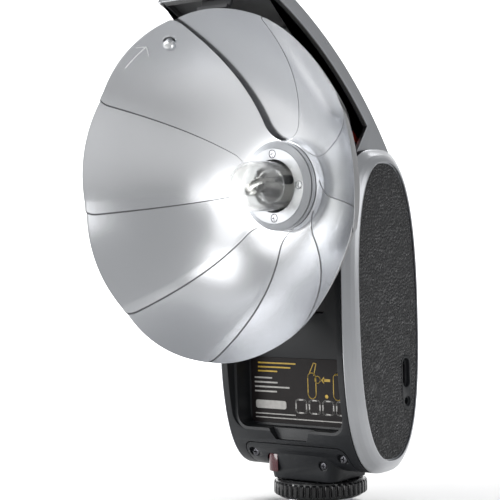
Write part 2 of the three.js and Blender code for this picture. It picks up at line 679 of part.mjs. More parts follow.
function flashTube() {
  const { radius, halfSpan, rootY, bendY } = TUBE;
  const path = new THREE.CurvePath();
  const left = new THREE.Vector3(-halfSpan, bendY, 0);
  const right = new THREE.Vector3(halfSpan, bendY, 0);
  const crown = bendY - halfSpan * 1.35;
  path.add(new THREE.LineCurve3(new THREE.Vector3(-halfSpan, rootY, 0), left));
  const up = new THREE.Vector3(-halfSpan, crown, 0);
  const down = new THREE.Vector3(halfSpan, crown, 0);
  path.add(new THREE.CubicBezierCurve3(left, up, down, right));
  path.add(new THREE.LineCurve3(right, new THREE.Vector3(halfSpan, rootY, 0)));
  const section = new THREE.Shape(arc(0, 0, radius, 0, 300, 5));
  const geometry = new THREE.ExtrudeGeometry(section, { extrudePath: path, steps: 16, bevelEnabled: false });
  return moved(geometry.rotateY(rad(35)), 0, 0, HUB_Z);
}

// ---------------------------------------------------------------- reflector
function hubPoint(radius, y, degrees) {
  return new THREE.Vector3(radius * Math.cos(rad(degrees)), y, HUB_Z + radius * Math.sin(rad(degrees)));
}

// How far a leaf's edge flares out at a radius, to run tangentially onto its root ring, in degrees.
function rootFlare(radius) {
  const { edge, filletRadius, filletEnd } = LEAF_ROOT;
  if (radius >= filletEnd) return 0;
  const reach = edge + filletRadius;
  const full = Math.asin(filletRadius / reach);
  const share = (radius ** 2 + reach ** 2 - filletRadius ** 2) / (2 * radius * reach);
  return THREE.MathUtils.radToDeg(full - Math.acos(Math.min(1, share)));
}

// One leaf: a sector of the bowl on a thin root ring that turns on the spool.
function leaf(number) {
  const layer = number - 1;
  const rows = [16.8, 17.8, 20, 24.4, 34, 44, 54, BOWL.radius];
  const start = LEAF.firstEdge + LEAF.pitch * layer;
  const rings = [];
  for (let i = 0; i <= LEAF.steps; i += 1) {
    const spot = (r, y) => {
      const flare = rootFlare(Math.max(r, LEAF_ROOT.edge));
      return hubPoint(r, y, start - flare + ((LEAF.width + 2 * flare) * i) / LEAF.steps);
    };
    const front = rows.map((r) => spot(r, bowlY(r, layer)));
    const back = rows.map((r) => spot(r, bowlY(r, layer) + LEAF.thickness));
    rings.push([...front, ...back.reverse()]);
  }
  const { radius, edge } = LEAF_ROOT;
  const rootY = bowlY(radius, layer);
  const edgeY = bowlY(edge, layer);
  const root = turned([
    [radius, rootY], [edge, edgeY - 0.02], [edge, edgeY + LEAF.thickness - 0.02], [radius, rootY + LEAF.thickness],
  ], ROUND);
  return join(skin(rings), root);
}

function leafKnob() {
  const knob = { radius: 2.5, height: 1.9, at: 58.2, angle: 113.5, standOff: 0.5 };
  const dome = arc(0, 0, 1, 0, 90, 4).map((point) => new THREE.Vector2(knob.radius * point.x, knob.height * point.y));
  const profile = [new THREE.Vector2(0, 0), ...dome.slice(0, -1), new THREE.Vector2(0, knob.height)];
  const geometry = new THREE.LatheGeometry(profile, 16);
  const slope = (bowlY(knob.at + 1, 0) - bowlY(knob.at - 1, 0)) / 2;
  const spin = rad(knob.angle);
  const out = new THREE.Vector3(slope * Math.cos(spin), -1, slope * Math.sin(spin)).normalize();
  const turn = new THREE.Quaternion().setFromUnitVectors(new THREE.Vector3(0, 1, 0), out);
  const foot = hubPoint(knob.at, bowlY(knob.at, 0), knob.angle).addScaledVector(out, knob.standOff);
  geometry.applyQuaternion(turn);
  return moved(geometry, foot.x, foot.y, foot.z);
}

// ---------------------------------------------------------------- assembly
const flashGun = new THREE.Group();
const headGroup = new THREE.Group();
const fanGroup = new THREE.Group();
flashGun.add(headGroup);
headGroup.add(fanGroup);

function place(group, name, solid, look) {
  const mesh = new THREE.Mesh(toGeometry(solid), new THREE.MeshStandardMaterial(look));
  mesh.name = name;
  group.add(mesh);
}

const SIDES = [['left', -1], ['right', 1]];
for (const [label, side] of SIDES) {
  const frame = sideFrame(side);
  place(flashGun, `side_frame_${label}`, side > 0 ? cut(frame, portCuts()) : frame, SATIN_SILVER);
  place(flashGun, `hinge_pin_${label}`, hingePin(side), STEEL);
}
place(flashGun, 'leather_panel_right', cut(leatherPanel(), portCuts()), LEATHER);
place(flashGun, 'leather_panel_left', leatherPanel().mirror([1, 0, 0]), LEATHER);
place(flashGun, 'front_housing', frontHousing(), CHARCOAL);
place(flashGun, 'rear_housing', rearHousing(), CHARCOAL);
place(flashGun, 'label_plate', labelPlate(), BLACK_GLOSS);
place(flashGun, 'base_block', baseBlock(), CHARCOAL);
place(flashGun, 'sensor_window', sensorWindow(), DARK_RED);
for (const [label, side] of SIDES) {
  const apronScrew = screw(side * APRON_SCREW.x, APRON_SCREW.z, APRON_SCREW.radius, -13.2, -7);
  place(flashGun, `apron_screw_${label}`, apronScrew, STEEL);
}
const { x: blockScrewX, z: blockScrewZ, radius: blockScrewRadius, headY } = BLOCK_SCREW;
place(flashGun, 'block_screw', screw(blockScrewX, blockScrewZ, blockScrewRadius, headY, -8.8), STEEL);
place(flashGun, 'usb_port', usbPort(), STEEL);
place(flashGun, 'sync_jack', syncJack(), BLACK_GLOSS);
place(flashGun, 'shoe_foot', shoeFoot(), STEEL);
place(flashGun, 'lock_ring', lockRing(), BLACK_GLOSS);
place(flashGun, 'contact_pin', contactPin(), GOLD);
place(flashGun, 'power_dial', dial(), BLACK_GLOSS);
place(flashGun, 'mode_switch', modeSwitch(), BLACK_GLOSS);
place(flashGun, 'test_button', testButton(), RELEASE_RED);
place(flashGun, 'ready_lamp', readyLamp(), DARK_RED);
rearScrewPlaces().forEach(([x, z], i) => {
  place(flashGun, `rear_screw_${i + 1}`, screw(x, z, REAR_SCREW.radius, 21.2, 15), STEEL);
});
place(flashGun, 'battery_pack', batteryPack(), BATTERY_BLUE);
place(flashGun, 'flash_capacitor', flashCapacitor(), BLACK_GLOSS);
place(flashGun, 'main_board', mainBoard(), BOARD_GREEN);
place(flashGun, 'trigger_transformer', triggerTransformer(), GOLD);

place(headGroup, 'cover_frame', coverFrame(), SATIN_SILVER);
place(headGroup, 'cover_liner', coverLiner(), CHARCOAL);
place(headGroup, 'cover_skin', coverSkin(), LEATHER);
place(headGroup, 'cover_latch', coverLatch(), CHARCOAL);
place(headGroup, 'hinge_barrel', hingeBarrel(), CHARCOAL);
place(headGroup, 'head_release', headRelease(), RELEASE_RED);
place(headGroup, 'hub_spool', hubSpool(), STEEL);
place(headGroup, 'clamp_ring', clampRing(), SATIN_SILVER);
place(headGroup, 'clamp_collar', clampCollar(), SATIN_SILVER);
hubScrewPlaces().forEach(([x, z], i) => {
  place(headGroup, `hub_screw_${i + 1}`, screw(x, z, 1.4, CLAMP.frontY - 0.1, -18.5), STEEL);
});
place(headGroup, 'bulb_base', bulbBase(), CERAMIC);
place(headGroup, 'bulb_glass', bulbGlass(), GLASS);
place(headGroup, 'flash_tube', flashTube(), GLASS);

for (let number = 1; number <= LEAF.count; number += 1) {
  place(fanGroup, `leaf_${number}`, leaf(number), REFLECTOR);
}
place(fanGroup, 'leaf_knob', leafKnob(), CHROME);

export default flashGun;
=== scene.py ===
"""A slim shoe-mount flash with an exposed bulb in a fan-fold reflector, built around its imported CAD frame."""
import json
import math

import bmesh
import bpy
import numpy as np
from mathutils import Matrix, Vector


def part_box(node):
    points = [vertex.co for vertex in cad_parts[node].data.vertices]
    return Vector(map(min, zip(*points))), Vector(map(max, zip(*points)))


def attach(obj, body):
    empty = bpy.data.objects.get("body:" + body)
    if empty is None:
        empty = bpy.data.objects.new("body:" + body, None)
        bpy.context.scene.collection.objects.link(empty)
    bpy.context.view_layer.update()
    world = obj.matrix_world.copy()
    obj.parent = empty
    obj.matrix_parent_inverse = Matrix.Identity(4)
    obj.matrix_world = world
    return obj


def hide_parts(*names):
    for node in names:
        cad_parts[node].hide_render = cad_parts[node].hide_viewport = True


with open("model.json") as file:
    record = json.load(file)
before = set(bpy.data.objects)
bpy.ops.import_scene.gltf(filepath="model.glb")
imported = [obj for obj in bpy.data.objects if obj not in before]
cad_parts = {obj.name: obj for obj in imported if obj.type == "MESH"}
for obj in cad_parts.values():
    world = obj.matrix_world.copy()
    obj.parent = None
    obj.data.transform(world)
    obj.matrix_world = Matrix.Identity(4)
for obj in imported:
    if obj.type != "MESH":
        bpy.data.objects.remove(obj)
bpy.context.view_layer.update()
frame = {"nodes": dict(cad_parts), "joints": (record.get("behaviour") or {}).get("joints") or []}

# ---- sizes, in millimetres
MM = 0.001               # in metres, the unit of the frame
FAR = 120.0              # past the object on every side
GAP = 0.3                # between neighbouring pieces of the body


def box_mm(node):
    """A CAD node's lowest and highest corners, in millimetres."""
    low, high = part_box(node)
    return np.array(low) / MM, np.array(high) / MM


def joint_point(name):
    """Where a hinge's axis lies, in millimetres."""
    found = next(j for j in frame["joints"] if j["name"] == name)
    return np.array(found["pos_m"]) / MM


SIDE_LOW, SIDE_HIGH = box_mm("side_frame_right")
PANEL_LOW, PANEL_HIGH = box_mm("leather_panel_right")
BODY_Y, BODY_Z = (SIDE_LOW[1:] + SIDE_HIGH[1:]) / 2
BODY_DEPTH, BODY_HEIGHT = (SIDE_HIGH[1:] - SIDE_LOW[1:]) / 2
PANEL_DEPTH, PANEL_HEIGHT = (PANEL_HIGH[1:] - PANEL_LOW[1:]) / 2
BODY_POWER, PANEL_POWER = 2.87, 2.5
SHELL_X = SIDE_LOW[0] - GAP
FRAME_X, RIM_X = SIDE_LOW[0], SIDE_HIGH[0]
PANEL_X = PANEL_HIGH[0]
FLOOR_X = PANEL_LOW[0] - 0.1
RIM_WIDTH = 0.8
OVAL_POINTS = 176

HUB_Z = joint_point("fan_fold")[2]
PIVOT = joint_point("head_tilt")

LEAVES = 9
BOWL_RADIUS, BOWL_DEPTH, BOWL_POWER = 63.0, 43.8, 2.86
RIM_Y = box_mm("leaf_1")[0][1]
LEAF_START, LEAF_PITCH, LEAF_WIDTH = 103.3, 40.0, 45.0
LEAF_LAYER, LEAF_THICK, LEAF_OUTER = 0.30, 0.26, BOWL_RADIUS - 0.04
LEAF_COLUMNS = 53
FAN_CLEARANCE, FAN_ROOM_RADIUS, FAN_ROOM_FRONT = 4.5, 64, -80
ROOT_RADIUS, ROOT_EDGE, FLARE_RADIUS, FLARE_END = 14.5, 17.0, 9.0, 24.4
LEAF_FLATNESS, LEAF_CORNER = 0.22, 2.2

COVER_Y, COVER_Z, COVER_LEAN, COVER_RADIUS, COVER_LENGTH = 16.3, 133.4, 33.0, 175.0, 95.0
COVER_DEPTH, COVER_HALF, COVER_WALL = 5.5, 25.5, 1.9
ARM_RADIUS, HINGE_BORE = 10.4, 2.3


# ---- mesh tools
def new_object(name, verts, faces):
    """An object from millimetre points and faces, with its faces turned outwards."""
    mesh = bpy.data.meshes.new(name)
    mesh.from_pydata((np.asarray(verts, float) * MM).tolist(), [], faces)
    bm = bmesh.new()
    bm.from_mesh(mesh)
    bmesh.ops.recalc_face_normals(bm, faces=bm.faces)
    bm.to_mesh(mesh)
    bm.free()
    obj = bpy.data.objects.new(name, mesh)
    bpy.context.scene.collection.objects.link(obj)
    return obj


def apply_modifiers(obj):
    bpy.context.view_layer.update()
    graph = bpy.context.evaluated_depsgraph_get()
    mesh = bpy.data.meshes.new_from_object(obj.evaluated_get(graph))
    obj.modifiers.clear()
    obj.data = mesh
    return obj


def remove(obj):
    bpy.data.objects.remove(obj, do_unlink=True)


def combine(obj, tool, operation):
    modifier = obj.modifiers.new(operation, "BOOLEAN")
    modifier.operation = operation
    modifier.solver = "EXACT"
    modifier.object = tool
    apply_modifiers(obj)
    remove(tool)
    return obj


def cut(obj, *tools):
    for tool in tools:
        combine(obj, tool, "DIFFERENCE")
    return obj


def join(obj, *tools):
    for tool in tools:
        combine(obj, tool, "UNION")
    return obj


def merge(name, *objects):
    """Several objects as one, without joining their solids."""
    bm = bmesh.new()
    for obj in objects:
        bm.from_mesh(obj.data)
        remove(obj)
    mesh = bpy.data.meshes.new(name)
    bm.to_mesh(mesh)
    bm.free()
    merged = bpy.data.objects.new(name, mesh)
    bpy.context.scene.collection.objects.link(merged)
    return merged


def clean(obj, distance=0.004):
    """Melts the slivers that a boolean leaves."""
    bm = bmesh.new()
    bm.from_mesh(obj.data)
    bmesh.ops.remove_doubles(bm, verts=bm.verts, dist=distance * MM)
    bmesh.ops.dissolve_degenerate(bm, edges=bm.edges, dist=distance * MM)
    bm.to_mesh(obj.data)
    bm.free()
    return obj


def soften(obj, width=0.3, segments=2, angle=32):
    """Rounds every edge that is sharper than the angle."""
    clean(obj)
    modifier = obj.modifiers.new("soften", "BEVEL")
    modifier.width = width * MM
    modifier.segments = segments
    modifier.limit_method = "ANGLE"
    modifier.angle_limit = math.radians(angle)
    modifier.miter_outer = "MITER_ARC"
    modifier.use_clamp_overlap = True
    return apply_modifiers(obj)


def shade(obj, angle=34):
    obj.data.shade_smooth()
    obj.data.set_sharp_from_angle(angle=math.radians(angle))
    return obj


def ring_faces(rings, count, closed=True):
    """The quads between neighbouring rings of points."""
    faces = []
    for ring in range(rings - 1):
        for i in range(count if closed else count - 1):
            a = ring * count + i
            b = ring * count + (i + 1) % count
            faces.append((a, b, b + count, a + count))
    return faces


def loft(name, rings):
    """A skin through rings of equally many points, closed by a flat face at each end."""
    count = len(rings[0])
    last = (len(rings) - 1) * count
    faces = ring_faces(len(rings), count)
    faces += [tuple(range(count))[::-1], tuple(range(last, last + count))]
    return new_object(name, np.vstack(rings), faces)


def raised(outline, axis, place):
    """A flat outline's points, set at a place along an axis."""
    return np.insert(np.asarray(outline, float), "xyz".index(axis), place, axis=1)


def prism(name, axis, outline, start, end):
    """An outline run along X, Y or Z. It is given in the other two coordinates, in X, Y, Z order."""
    return loft(name, [raised(outline, axis, start), raised(outline, axis, end)])


def block(name, low, high):
    outline = [(low[0], low[1]), (high[0], low[1]), (high[0], high[1]), (low[0], high[1])]
    return prism(name, "z", outline, low[2], high[2])


def rod(name, axis, radius, start, end, at, count=48):
    return prism(name, axis, circle(radius, at, count), start, end)


def turned(name, profile, centre=(0.0, HUB_Z), axis="y", count=128):
    """A closed profile of (radius, place along the axis) turned about it. A radius of 0 lies on the axis."""
    angles = np.linspace(0, 2 * math.pi, count, endpoint=False)
    columns = []
    for radius, place in profile:
        plane = np.column_stack([centre[0] + radius * np.cos(angles), centre[1] + radius * np.sin(angles)])
        columns.append(raised(plane, axis, place))
    open_ends = profile[0][0] == 0 and profile[-1][0] == 0
    rings = len(columns)
    faces = ring_faces(rings, count)
    if not open_ends:
        last = (rings - 1) * count
        faces += [(last + i, last + (i + 1) % count, (i + 1) % count, i) for i in range(count)]
    return weld(new_object(name, np.vstack(columns), faces))


def weld(obj, distance=0.001):
    bm = bmesh.new()
    bm.from_mesh(obj.data)
    bmesh.ops.remove_doubles(bm, verts=bm.verts, dist=distance * MM)
    bmesh.ops.recalc_face_normals(bm, faces=bm.faces)
    bm.to_mesh(obj.data)
    bm.free()
    return obj


SKEW = (0.31, 0.83, 0.47)      # a direction that no tube's path starts in


def tube(name, path, radius, count=16):
    """A round tube along a path of points, with flat ends."""
    path = np.asarray(path, float)
    along = np.gradient(path, axis=0)
    along /= np.linalg.norm(along, axis=1)[:, None]
    side = np.cross(along[0], SKEW)
    rings = []
    for point, direction in zip(path, along):
        side = side - direction * side.dot(direction)
        side /= np.linalg.norm(side)
        other = np.cross(direction, side)
        angles = np.linspace(0, 2 * math.pi, count, endpoint=False)[:, None]
        rings.append(point + radius * (np.cos(angles) * side + np.sin(angles) * other))
    return loft(name, rings)


# ---- outlines
def circle(radius, at=(0.0, 0.0), count=48):
    angles = np.linspace(0, 2 * math.pi, count, endpoint=False)
    return np.column_stack([at[0] + radius * np.cos(angles), at[1] + radius * np.sin(angles)])


def rounded(low, high, radius, steps=8):
    """A rectangle with round corners, counter-clockwise."""
    limit = min(high[0] - low[0], high[1] - low[1]) / 2 - 0.001
    radius = min(radius, limit)
    points = []
    corners = ((high[0], high[1], 0), (low[0], high[1], 90), (low[0], low[1], 180), (high[0], low[1], 270))
    for x, y, start in corners:
        centre_x = x + math.copysign(radius, (low[0] + high[0]) / 2 - x)
        centre_y = y + math.copysign(radius, (low[1] + high[1]) / 2 - y)
        for angle in np.radians(np.linspace(start, start + 90, steps + 1)):
            points.append((centre_x + radius * math.cos(angle), centre_y + radius * math.sin(angle)))
    return np.array(points)


def stadium(at, half_wide, half_high, steps=8):
    """An upright outline with half-round ends."""
    low, high = (at[0] - half_wide, at[1] - half_high), (at[0] + half_wide, at[1] + half_high)
    return rounded(low, high, half_wide, steps)


def ribbed(ribs, profile):
    """A round outline of equal ribs. The profile gives a rib's points: share of the pitch, radius."""
    turns = [(2 * math.pi * (i + share) / ribs, radius) for i in range(ribs) for share, radius in profile]
    return np.array([(radius * math.cos(angle), radius * math.sin(angle)) for angle, radius in turns])


def dome(radius, start, end, count):
    """A quarter arc of (radius, place) points, from the rim at start to the axis at end."""
    angles = np.linspace(0, math.pi / 2, count)[:-1]
    return [(radius * math.cos(a), start + (end - start) * math.sin(a)) for a in angles] + [(0, end)]


def eased(count, ease):
    """Places from -1 to 1, closer together towards the ends."""
    steps = np.linspace(-1, 1, count)
    return ease * np.sin(steps * math.pi / 2) + (1 - ease) * steps


def even(points, count):
    """A closed outline's points set evenly along it."""
    closed = np.vstack([points, points[:1]])
    lengths = np.concatenate([[0], np.cumsum(np.linalg.norm(np.diff(closed, axis=0), axis=1))])
    places = np.linspace(0, lengths[-1], count, endpoint=False)
    return np.column_stack([np.interp(places, lengths, closed[:, i]) for i in range(2)])


def superellipse(half_depth, half_height, power):
    t = np.linspace(0, 2 * math.pi, 6000, endpoint=False)
    y = half_depth * np.sign(np.cos(t)) * np.abs(np.cos(t)) ** (2 / power)
    z = half_height * np.sign(np.sin(t)) * np.abs(np.sin(t)) ** (2 / power)
    return even(np.column_stack([BODY_Y + y, BODY_Z + z]), OVAL_POINTS)


def body_oval(grow=0.0):
    return superellipse(BODY_DEPTH + grow, BODY_HEIGHT + grow, BODY_POWER)


def fillet(points, radii, steps=5):
    """A closed polygon of (u, v) points with each corner rounded by its own radius."""
    result = []
    for i, radius in enumerate(radii):
        corner = np.array(points[i], float)
        back = np.array(points[i - 1], float) - corner
        ahead = np.array(points[(i + 1) % len(points)], float) - corner
        if radius <= 0 or not back.any() or not ahead.any():
            result.append(tuple(corner))
            continue
        back_length, ahead_length = np.linalg.norm(back), np.linalg.norm(ahead)
        back, ahead = back / back_length, ahead / ahead_length
        half = math.acos(max(-1.0, min(1.0, back.dot(ahead)))) / 2
        reach = min(radius / math.tan(half), 0.49 * back_length, 0.49 * ahead_length)
        start, end = corner + back * reach, corner + ahead * reach
        for t in np.linspace(0, 1, steps + 1):
            result.append(tuple((1 - t) ** 2 * start + 2 * t * (1 - t) * corner + t ** 2 * end))
    return result


# ---- materials
class Look:
    """A procedural material: a shader, a broad mottle in colour and roughness, and a fine grain in the bump."""

    def __init__(self, name, color, roughness, metallic=0.0, **sockets):
        self.material = bpy.data.materials.new(name)
        self.material.use_nodes = True
        self.tree = self.material.node_tree
        self.shader = self.tree.nodes["Principled BSDF"]
        self.color, self.roughness = color, roughness
        self.shader.inputs["Base Color"].default_value = (*color, 1)
        self.shader.inputs["Roughness"].default_value = roughness
        self.shader.inputs["Metallic"].default_value = metallic
        for socket, value in sockets.items():
            self.shader.inputs[socket.replace("_", " ")].default_value = value
        self.place = self.tree.nodes.new("ShaderNodeTexCoord").outputs["Object"]
        self.normal = None

    def node(self, kind, **values):
        made = self.tree.nodes.new(kind)
        for key, value in values.items():
            setattr(made, key, value)
        return made

    def link(self, source, target):
        self.tree.links.new(source, target)

    def noise(self, size_mm, detail):
        """Noise in the object's own coordinates."""
        noise = self.node("ShaderNodeTexNoise")
        noise.inputs["Scale"].default_value = 1 / (size_mm * MM)
        noise.inputs["Detail"].default_value = detail
        self.link(self.place, noise.inputs["Vector"])
        return noise.outputs["Fac"]

    def remap(self, value, low, high):
        """The middle of a noise's range, spread from low to high."""
        remap = self.node("ShaderNodeMapRange")
        self.link(value, remap.inputs["Value"])
        for key, number in zip(("From Min", "From Max", "To Min", "To Max"), (0.3, 0.7, low, high)):
            remap.inputs[key].default_value = number
        return remap.outputs["Result"]

    def mottle(self, size_mm, colour_change, roughness_change):
        """Slow changes of tone and gloss over the surface."""
        spread = self.noise(size_mm, 4.0)
        mix = self.node("ShaderNodeMix", data_type="RGBA")
        for key, factor in (("A", 1 - colour_change), ("B", 1 + colour_change)):
            mix.inputs[key].default_value = (*[min(1.0, c * factor) for c in self.color], 1)
        self.link(self.remap(spread, 0, 1), mix.inputs["Factor"])
        self.link(mix.outputs["Result"], self.shader.inputs["Base Color"])
        low, high = self.roughness - roughness_change, self.roughness + roughness_change
        self.link(self.remap(spread, high, low), self.shader.inputs["Roughness"])
        return self

    def bump(self, height, depth_mm):
        """Adds a relief to the ones that the surface has."""
        bump = self.node("ShaderNodeBump")
        bump.inputs["Distance"].default_value = depth_mm * MM
        bump.inputs["Strength"].default_value = 1.0
        self.link(height, bump.inputs["Height"])
        if self.normal is not None:
            self.link(self.normal, bump.inputs["Normal"])
        self.normal = bump.outputs["Normal"]
        self.link(self.normal, self.shader.inputs["Normal"])
        return self

    def grain(self, size_mm, depth_mm, detail=2.0):
        return self.bump(self.noise(size_mm, detail), depth_mm)

    def rings(self, size_mm, depth_mm, centre_z):
        """Turning marks round the hub's axis."""
        mapping = self.node("ShaderNodeMapping")
        mapping.inputs["Location"].default_value = (0, 0, -centre_z * MM)
        self.link(self.place, mapping.inputs["Vector"])
        flat = self.node("ShaderNodeVectorMath", operation="MULTIPLY")
        flat.inputs[1].default_value = (1, 0, 1)
        self.link(mapping.outputs["Vector"], flat.inputs[0])
        length = self.node("ShaderNodeVectorMath", operation="LENGTH")
        self.link(flat.outputs["Vector"], length.inputs[0])
        noise = self.node("ShaderNodeTexNoise", noise_dimensions="1D")
        noise.inputs["Scale"].default_value = 1 / (size_mm * MM)
        noise.inputs["Detail"].default_value = 3.0
        self.link(length.outputs["Value"], noise.inputs["W"])
        return self.bump(noise.outputs["Fac"], depth_mm)


def glass_look(name, color, roughness, ior):
    look = Look(name, color, roughness, Transmission_Weight=1.0, IOR=ior)
    spread = look.noise(9.0, 2.0)
    look.link(look.remap(spread, roughness * 0.6, roughness * 1.6), look.shader.inputs["Roughness"])
    return look.material


def plain_look(name, color, roughness, metallic, mottle, *grains, **sockets):
    """A material from its shader values, its mottle's numbers and those of each grain."""
    look = Look(name, color, roughness, metallic, **sockets).mottle(*mottle)
    for grain in grains:
        look.grain(*grain)
    return look.material


def metal_looks():
    hub = Look("hub_metal", (0.42, 0.43, 0.445), 0.47, 1.0).mottle(10, 0.03, 0.03).rings(0.12, 0.004, HUB_Z)
    return {
        "silver": plain_look("satin_silver", (0.56, 0.57, 0.59), 0.3, 1, (18, 0.03, 0.03), (0.16, 0.006)),
        "reflector": plain_look("reflector_metal", (0.82, 0.83, 0.85), 0.24, 1, (22, 0.02, 0.03),
                                (0.3, 0.0015)),
        # leaf_edge_painted_shadow: a dark grey painted in as the shadow in the gaps where one leaf lies over the
        # next
        "leaf_edge_painted_shadow": plain_look("leaf_edge_painted_shadow", (0.20, 0.202, 0.21), 0.42, 0.9, (4, 0.06, 0.04)),
        # leaf_back_painted_shade: the leaves' outsides in a dark grey, painted shade for the shadowed outer side
        # of the bowl
        "leaf_back_painted_shade": plain_look("leaf_back_painted_shade", (0.16, 0.163, 0.17), 0.5, 0.9, (22, 0.03, 0.03), (0.3, 0.002)),
        "hub": hub.material,
        "steel": plain_look("steel", (0.50, 0.51, 0.53), 0.30, 1, (2.5, 0.06, 0.06), (0.1, 0.003)),
        "dark_steel": plain_look("dark_steel", (0.10, 0.10, 0.11), 0.34, 1, (2.0, 0.15, 0.06)),
        "knob": plain_look("polished_knob", (0.86, 0.87, 0.88), 0.10, 1, (3, 0.02, 0.03)),
        "contact": plain_look("gold_contact", (0.80, 0.58, 0.24), 0.28, 1, (2, 0.06, 0.05)),
        "mark": plain_look("etched_mark", (0.92, 0.92, 0.93), 0.6, 0.4, (1.5, 0.05, 0.05)),
    }


def plastic_looks():
    return {
        "shell": plain_look("charcoal_shell", (0.013, 0.0145, 0.017), 0.46, 0, (14, 0.10, 0.04), (0.22, 0.02),
                            Specular_IOR_Level=0.4),
        "liner": plain_look("liner_black", (0.07, 0.071, 0.074), 0.5, 0, (9, 0.15, 0.05), (0.25, 0.015)),
        "leather": plain_look("leatherette", (0.017, 0.0175, 0.0195), 0.26, 0, (5, 0.25, 0.07),
                              (0.35, 0.05, 3.0), (0.12, 0.012), Specular_IOR_Level=0.7),
        "gloss": plain_look("black_gloss", (0.008, 0.008, 0.009), 0.2, 0, (6, 0.15, 0.05), (0.2, 0.004),
                            Coat_Weight=0.4, Coat_Roughness=0.08),
        "film": plain_look("label_film", (0.009, 0.006, 0.0062), 0.5, 0, (12, 0.1, 0.03), (0.3, 0.003),
                           Specular_IOR_Level=0.22),
        "gold_ink": plain_look("gold_ink", (0.62, 0.40, 0.03), 0.45, 0, (1.5, 0.12, 0.05)),
        "pale_ink": plain_look("pale_ink", (0.50, 0.49, 0.47), 0.5, 0, (1.5, 0.1, 0.05)),
        "red": plain_look("red_plastic", (0.60, 0.035, 0.02), 0.42, 0, (3, 0.08, 0.04), (0.2, 0.008)),
        "window": plain_look("dark_red_window", (0.075, 0.006, 0.012), 0.16, 0, (5, 0.15, 0.03),
                             Coat_Weight=0.5, Coat_Roughness=0.06),
        "ceramic": plain_look("ceramic", (0.34, 0.34, 0.335), 0.4, 0, (3, 0.04, 0.05), (0.3, 0.01)),
        "wrap": plain_look("battery_wrap", (0.05, 0.12, 0.32), 0.35, 0, (8, 0.08, 0.05), (0.6, 0.01)),
        "board": plain_look("circuit_board", (0.012, 0.11, 0.04), 0.4, 0, (3, 0.2, 0.06), (0.5, 0.02)),
    }


def glass_looks():
    return {
        "glass": glass_look("bulb_glass", (0.975, 0.975, 0.955), 0.13, 1.45),
        "quartz": glass_look("quartz_tube", (0.98, 0.97, 0.94), 0.03, 1.46),
    }


LOOKS = {**metal_looks(), **plastic_looks(), **glass_looks()}


def settle(obj, look, body, slot, *nodes, angle=34):
    """Gives a finished piece its material and its body, and hides the CAD nodes it stands for. Its slot is not
    used.
    """
    mesh = obj.data
    indices = [polygon.material_index for polygon in mesh.polygons]
    names = (look,) if isinstance(look, str) else look
    mesh.materials.clear()
    for name in names:
        mesh.materials.append(LOOKS[name])
    mesh.polygons.foreach_set("material_index", [min(i, len(names) - 1) for i in indices])
    shade(obj, angle)
    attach(obj, body)
    if nodes:
        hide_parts(*nodes)
    return obj


def repaint(node, look):
    """A CAD node whose shape is right keeps it, and gets a better material."""
    slots = frame["nodes"][node].data.materials
    slots.clear()
    slots.append(LOOKS[look])


# ---- the reflector's shape
def bowl_y(radius, layer=0.0):
    """Where the bowl's front face lies at a radius, for a leaf in a layer."""
    return RIM_Y + BOWL_DEPTH * (1 - (radius / BOWL_RADIUS) ** BOWL_POWER) + LEAF_LAYER * layer


def hub_points(radius, y, degrees):
    """Points at a radius and turns about the hub, and at a depth y."""
    angle = np.radians(degrees)
    depth = np.broadcast_to(y, angle.shape)
    return np.column_stack([radius * np.cos(angle), depth, HUB_Z + radius * np.sin(angle)])


def grid_border(rows, columns):
    """The border of a grid of points, in order round it."""
    border = list(range(columns))
    border += [row * columns + columns - 1 for row in range(1, rows)]
    border += [(rows - 1) * columns + i for i in range(columns - 2, -1, -1)]
    return border + [row * columns for row in range(rows - 2, 0, -1)]


def skirt_faces(upper, lower):
    """The quads between two borders of equally many points."""
    pairs = list(zip(upper, lower))
    return [(b, a, low_a, low_b) for (a, low_a), (b, low_b) in zip(pairs, pairs[1:] + pairs[:1])]


def tilt_head(obj, degrees):
    turn = Matrix.Rotation(math.radians(degrees), 4, "X")
    centre = Matrix.Translation(Vector(PIVOT) * MM)
    obj.data.transform(centre @ turn @ centre.inverted())
    return obj


def fan_rooms():
    """The room that the open fan sweeps, at rest and with the head tilted forward."""
    radii = (0, 20, 28, 34, 40, 48, 56, FAN_ROOM_RADIUS)
    back = [(r, bowl_y(r) + FAN_CLEARANCE) for r in radii]
    front = [(FAN_ROOM_RADIUS, FAN_ROOM_FRONT), (0, FAN_ROOM_FRONT)]
    return [tilt_head(turned("fan_room", back + front), degrees) for degrees in (0, 2.5, 5)]


def root_flare(radius):
    """How far a leaf's edge flares out at a radius, to run tangentially onto its root ring, in degrees."""
    if radius >= FLARE_END:
        return 0.0
    radius = max(radius, ROOT_EDGE)
    reach = ROOT_EDGE + FLARE_RADIUS
    share = (radius ** 2 + reach ** 2 - FLARE_RADIUS ** 2) / (2 * radius * reach)
    return math.degrees(math.asin(FLARE_RADIUS / reach) - math.acos(min(1.0, share)))


def leaf_y(radius, turn, layer):
    """The face of a leaf that is nearly flat across. turn is the angle from its middle, in degrees."""
    bend = np.radians(np.clip(turn, -LEAF_WIDTH / 2, LEAF_PITCH - LEAF_WIDTH / 2))
    round_y = bowl_y(radius, layer)
    return round_y + LEAF_FLATNESS * (bowl_y(radius * np.cos(bend), layer) - round_y)


# A leaf's three materials: its bright face, a dark grey painted in as the shadow along its edges, and a dark
# back painted in as shade
LEAF_LOOKS = ("reflector", "leaf_edge_painted_shadow", "leaf_back_painted_shade")
EDGE_ROUND, EDGE_DROP = 0.3, 0.05


def leaf_radii():
    """The radii of a leaf's rows of points: closer together at the root and round the outer corners."""
    rim = LEAF_OUTER - LEAF_CORNER * (1 - np.sin(np.linspace(0, math.pi / 2, 9)))
    root = np.linspace(ROOT_EDGE - 0.3, FLARE_END, 16)[:-1]
    return np.concatenate([root, np.linspace(FLARE_END, rim[0], 34)[:-1], rim])


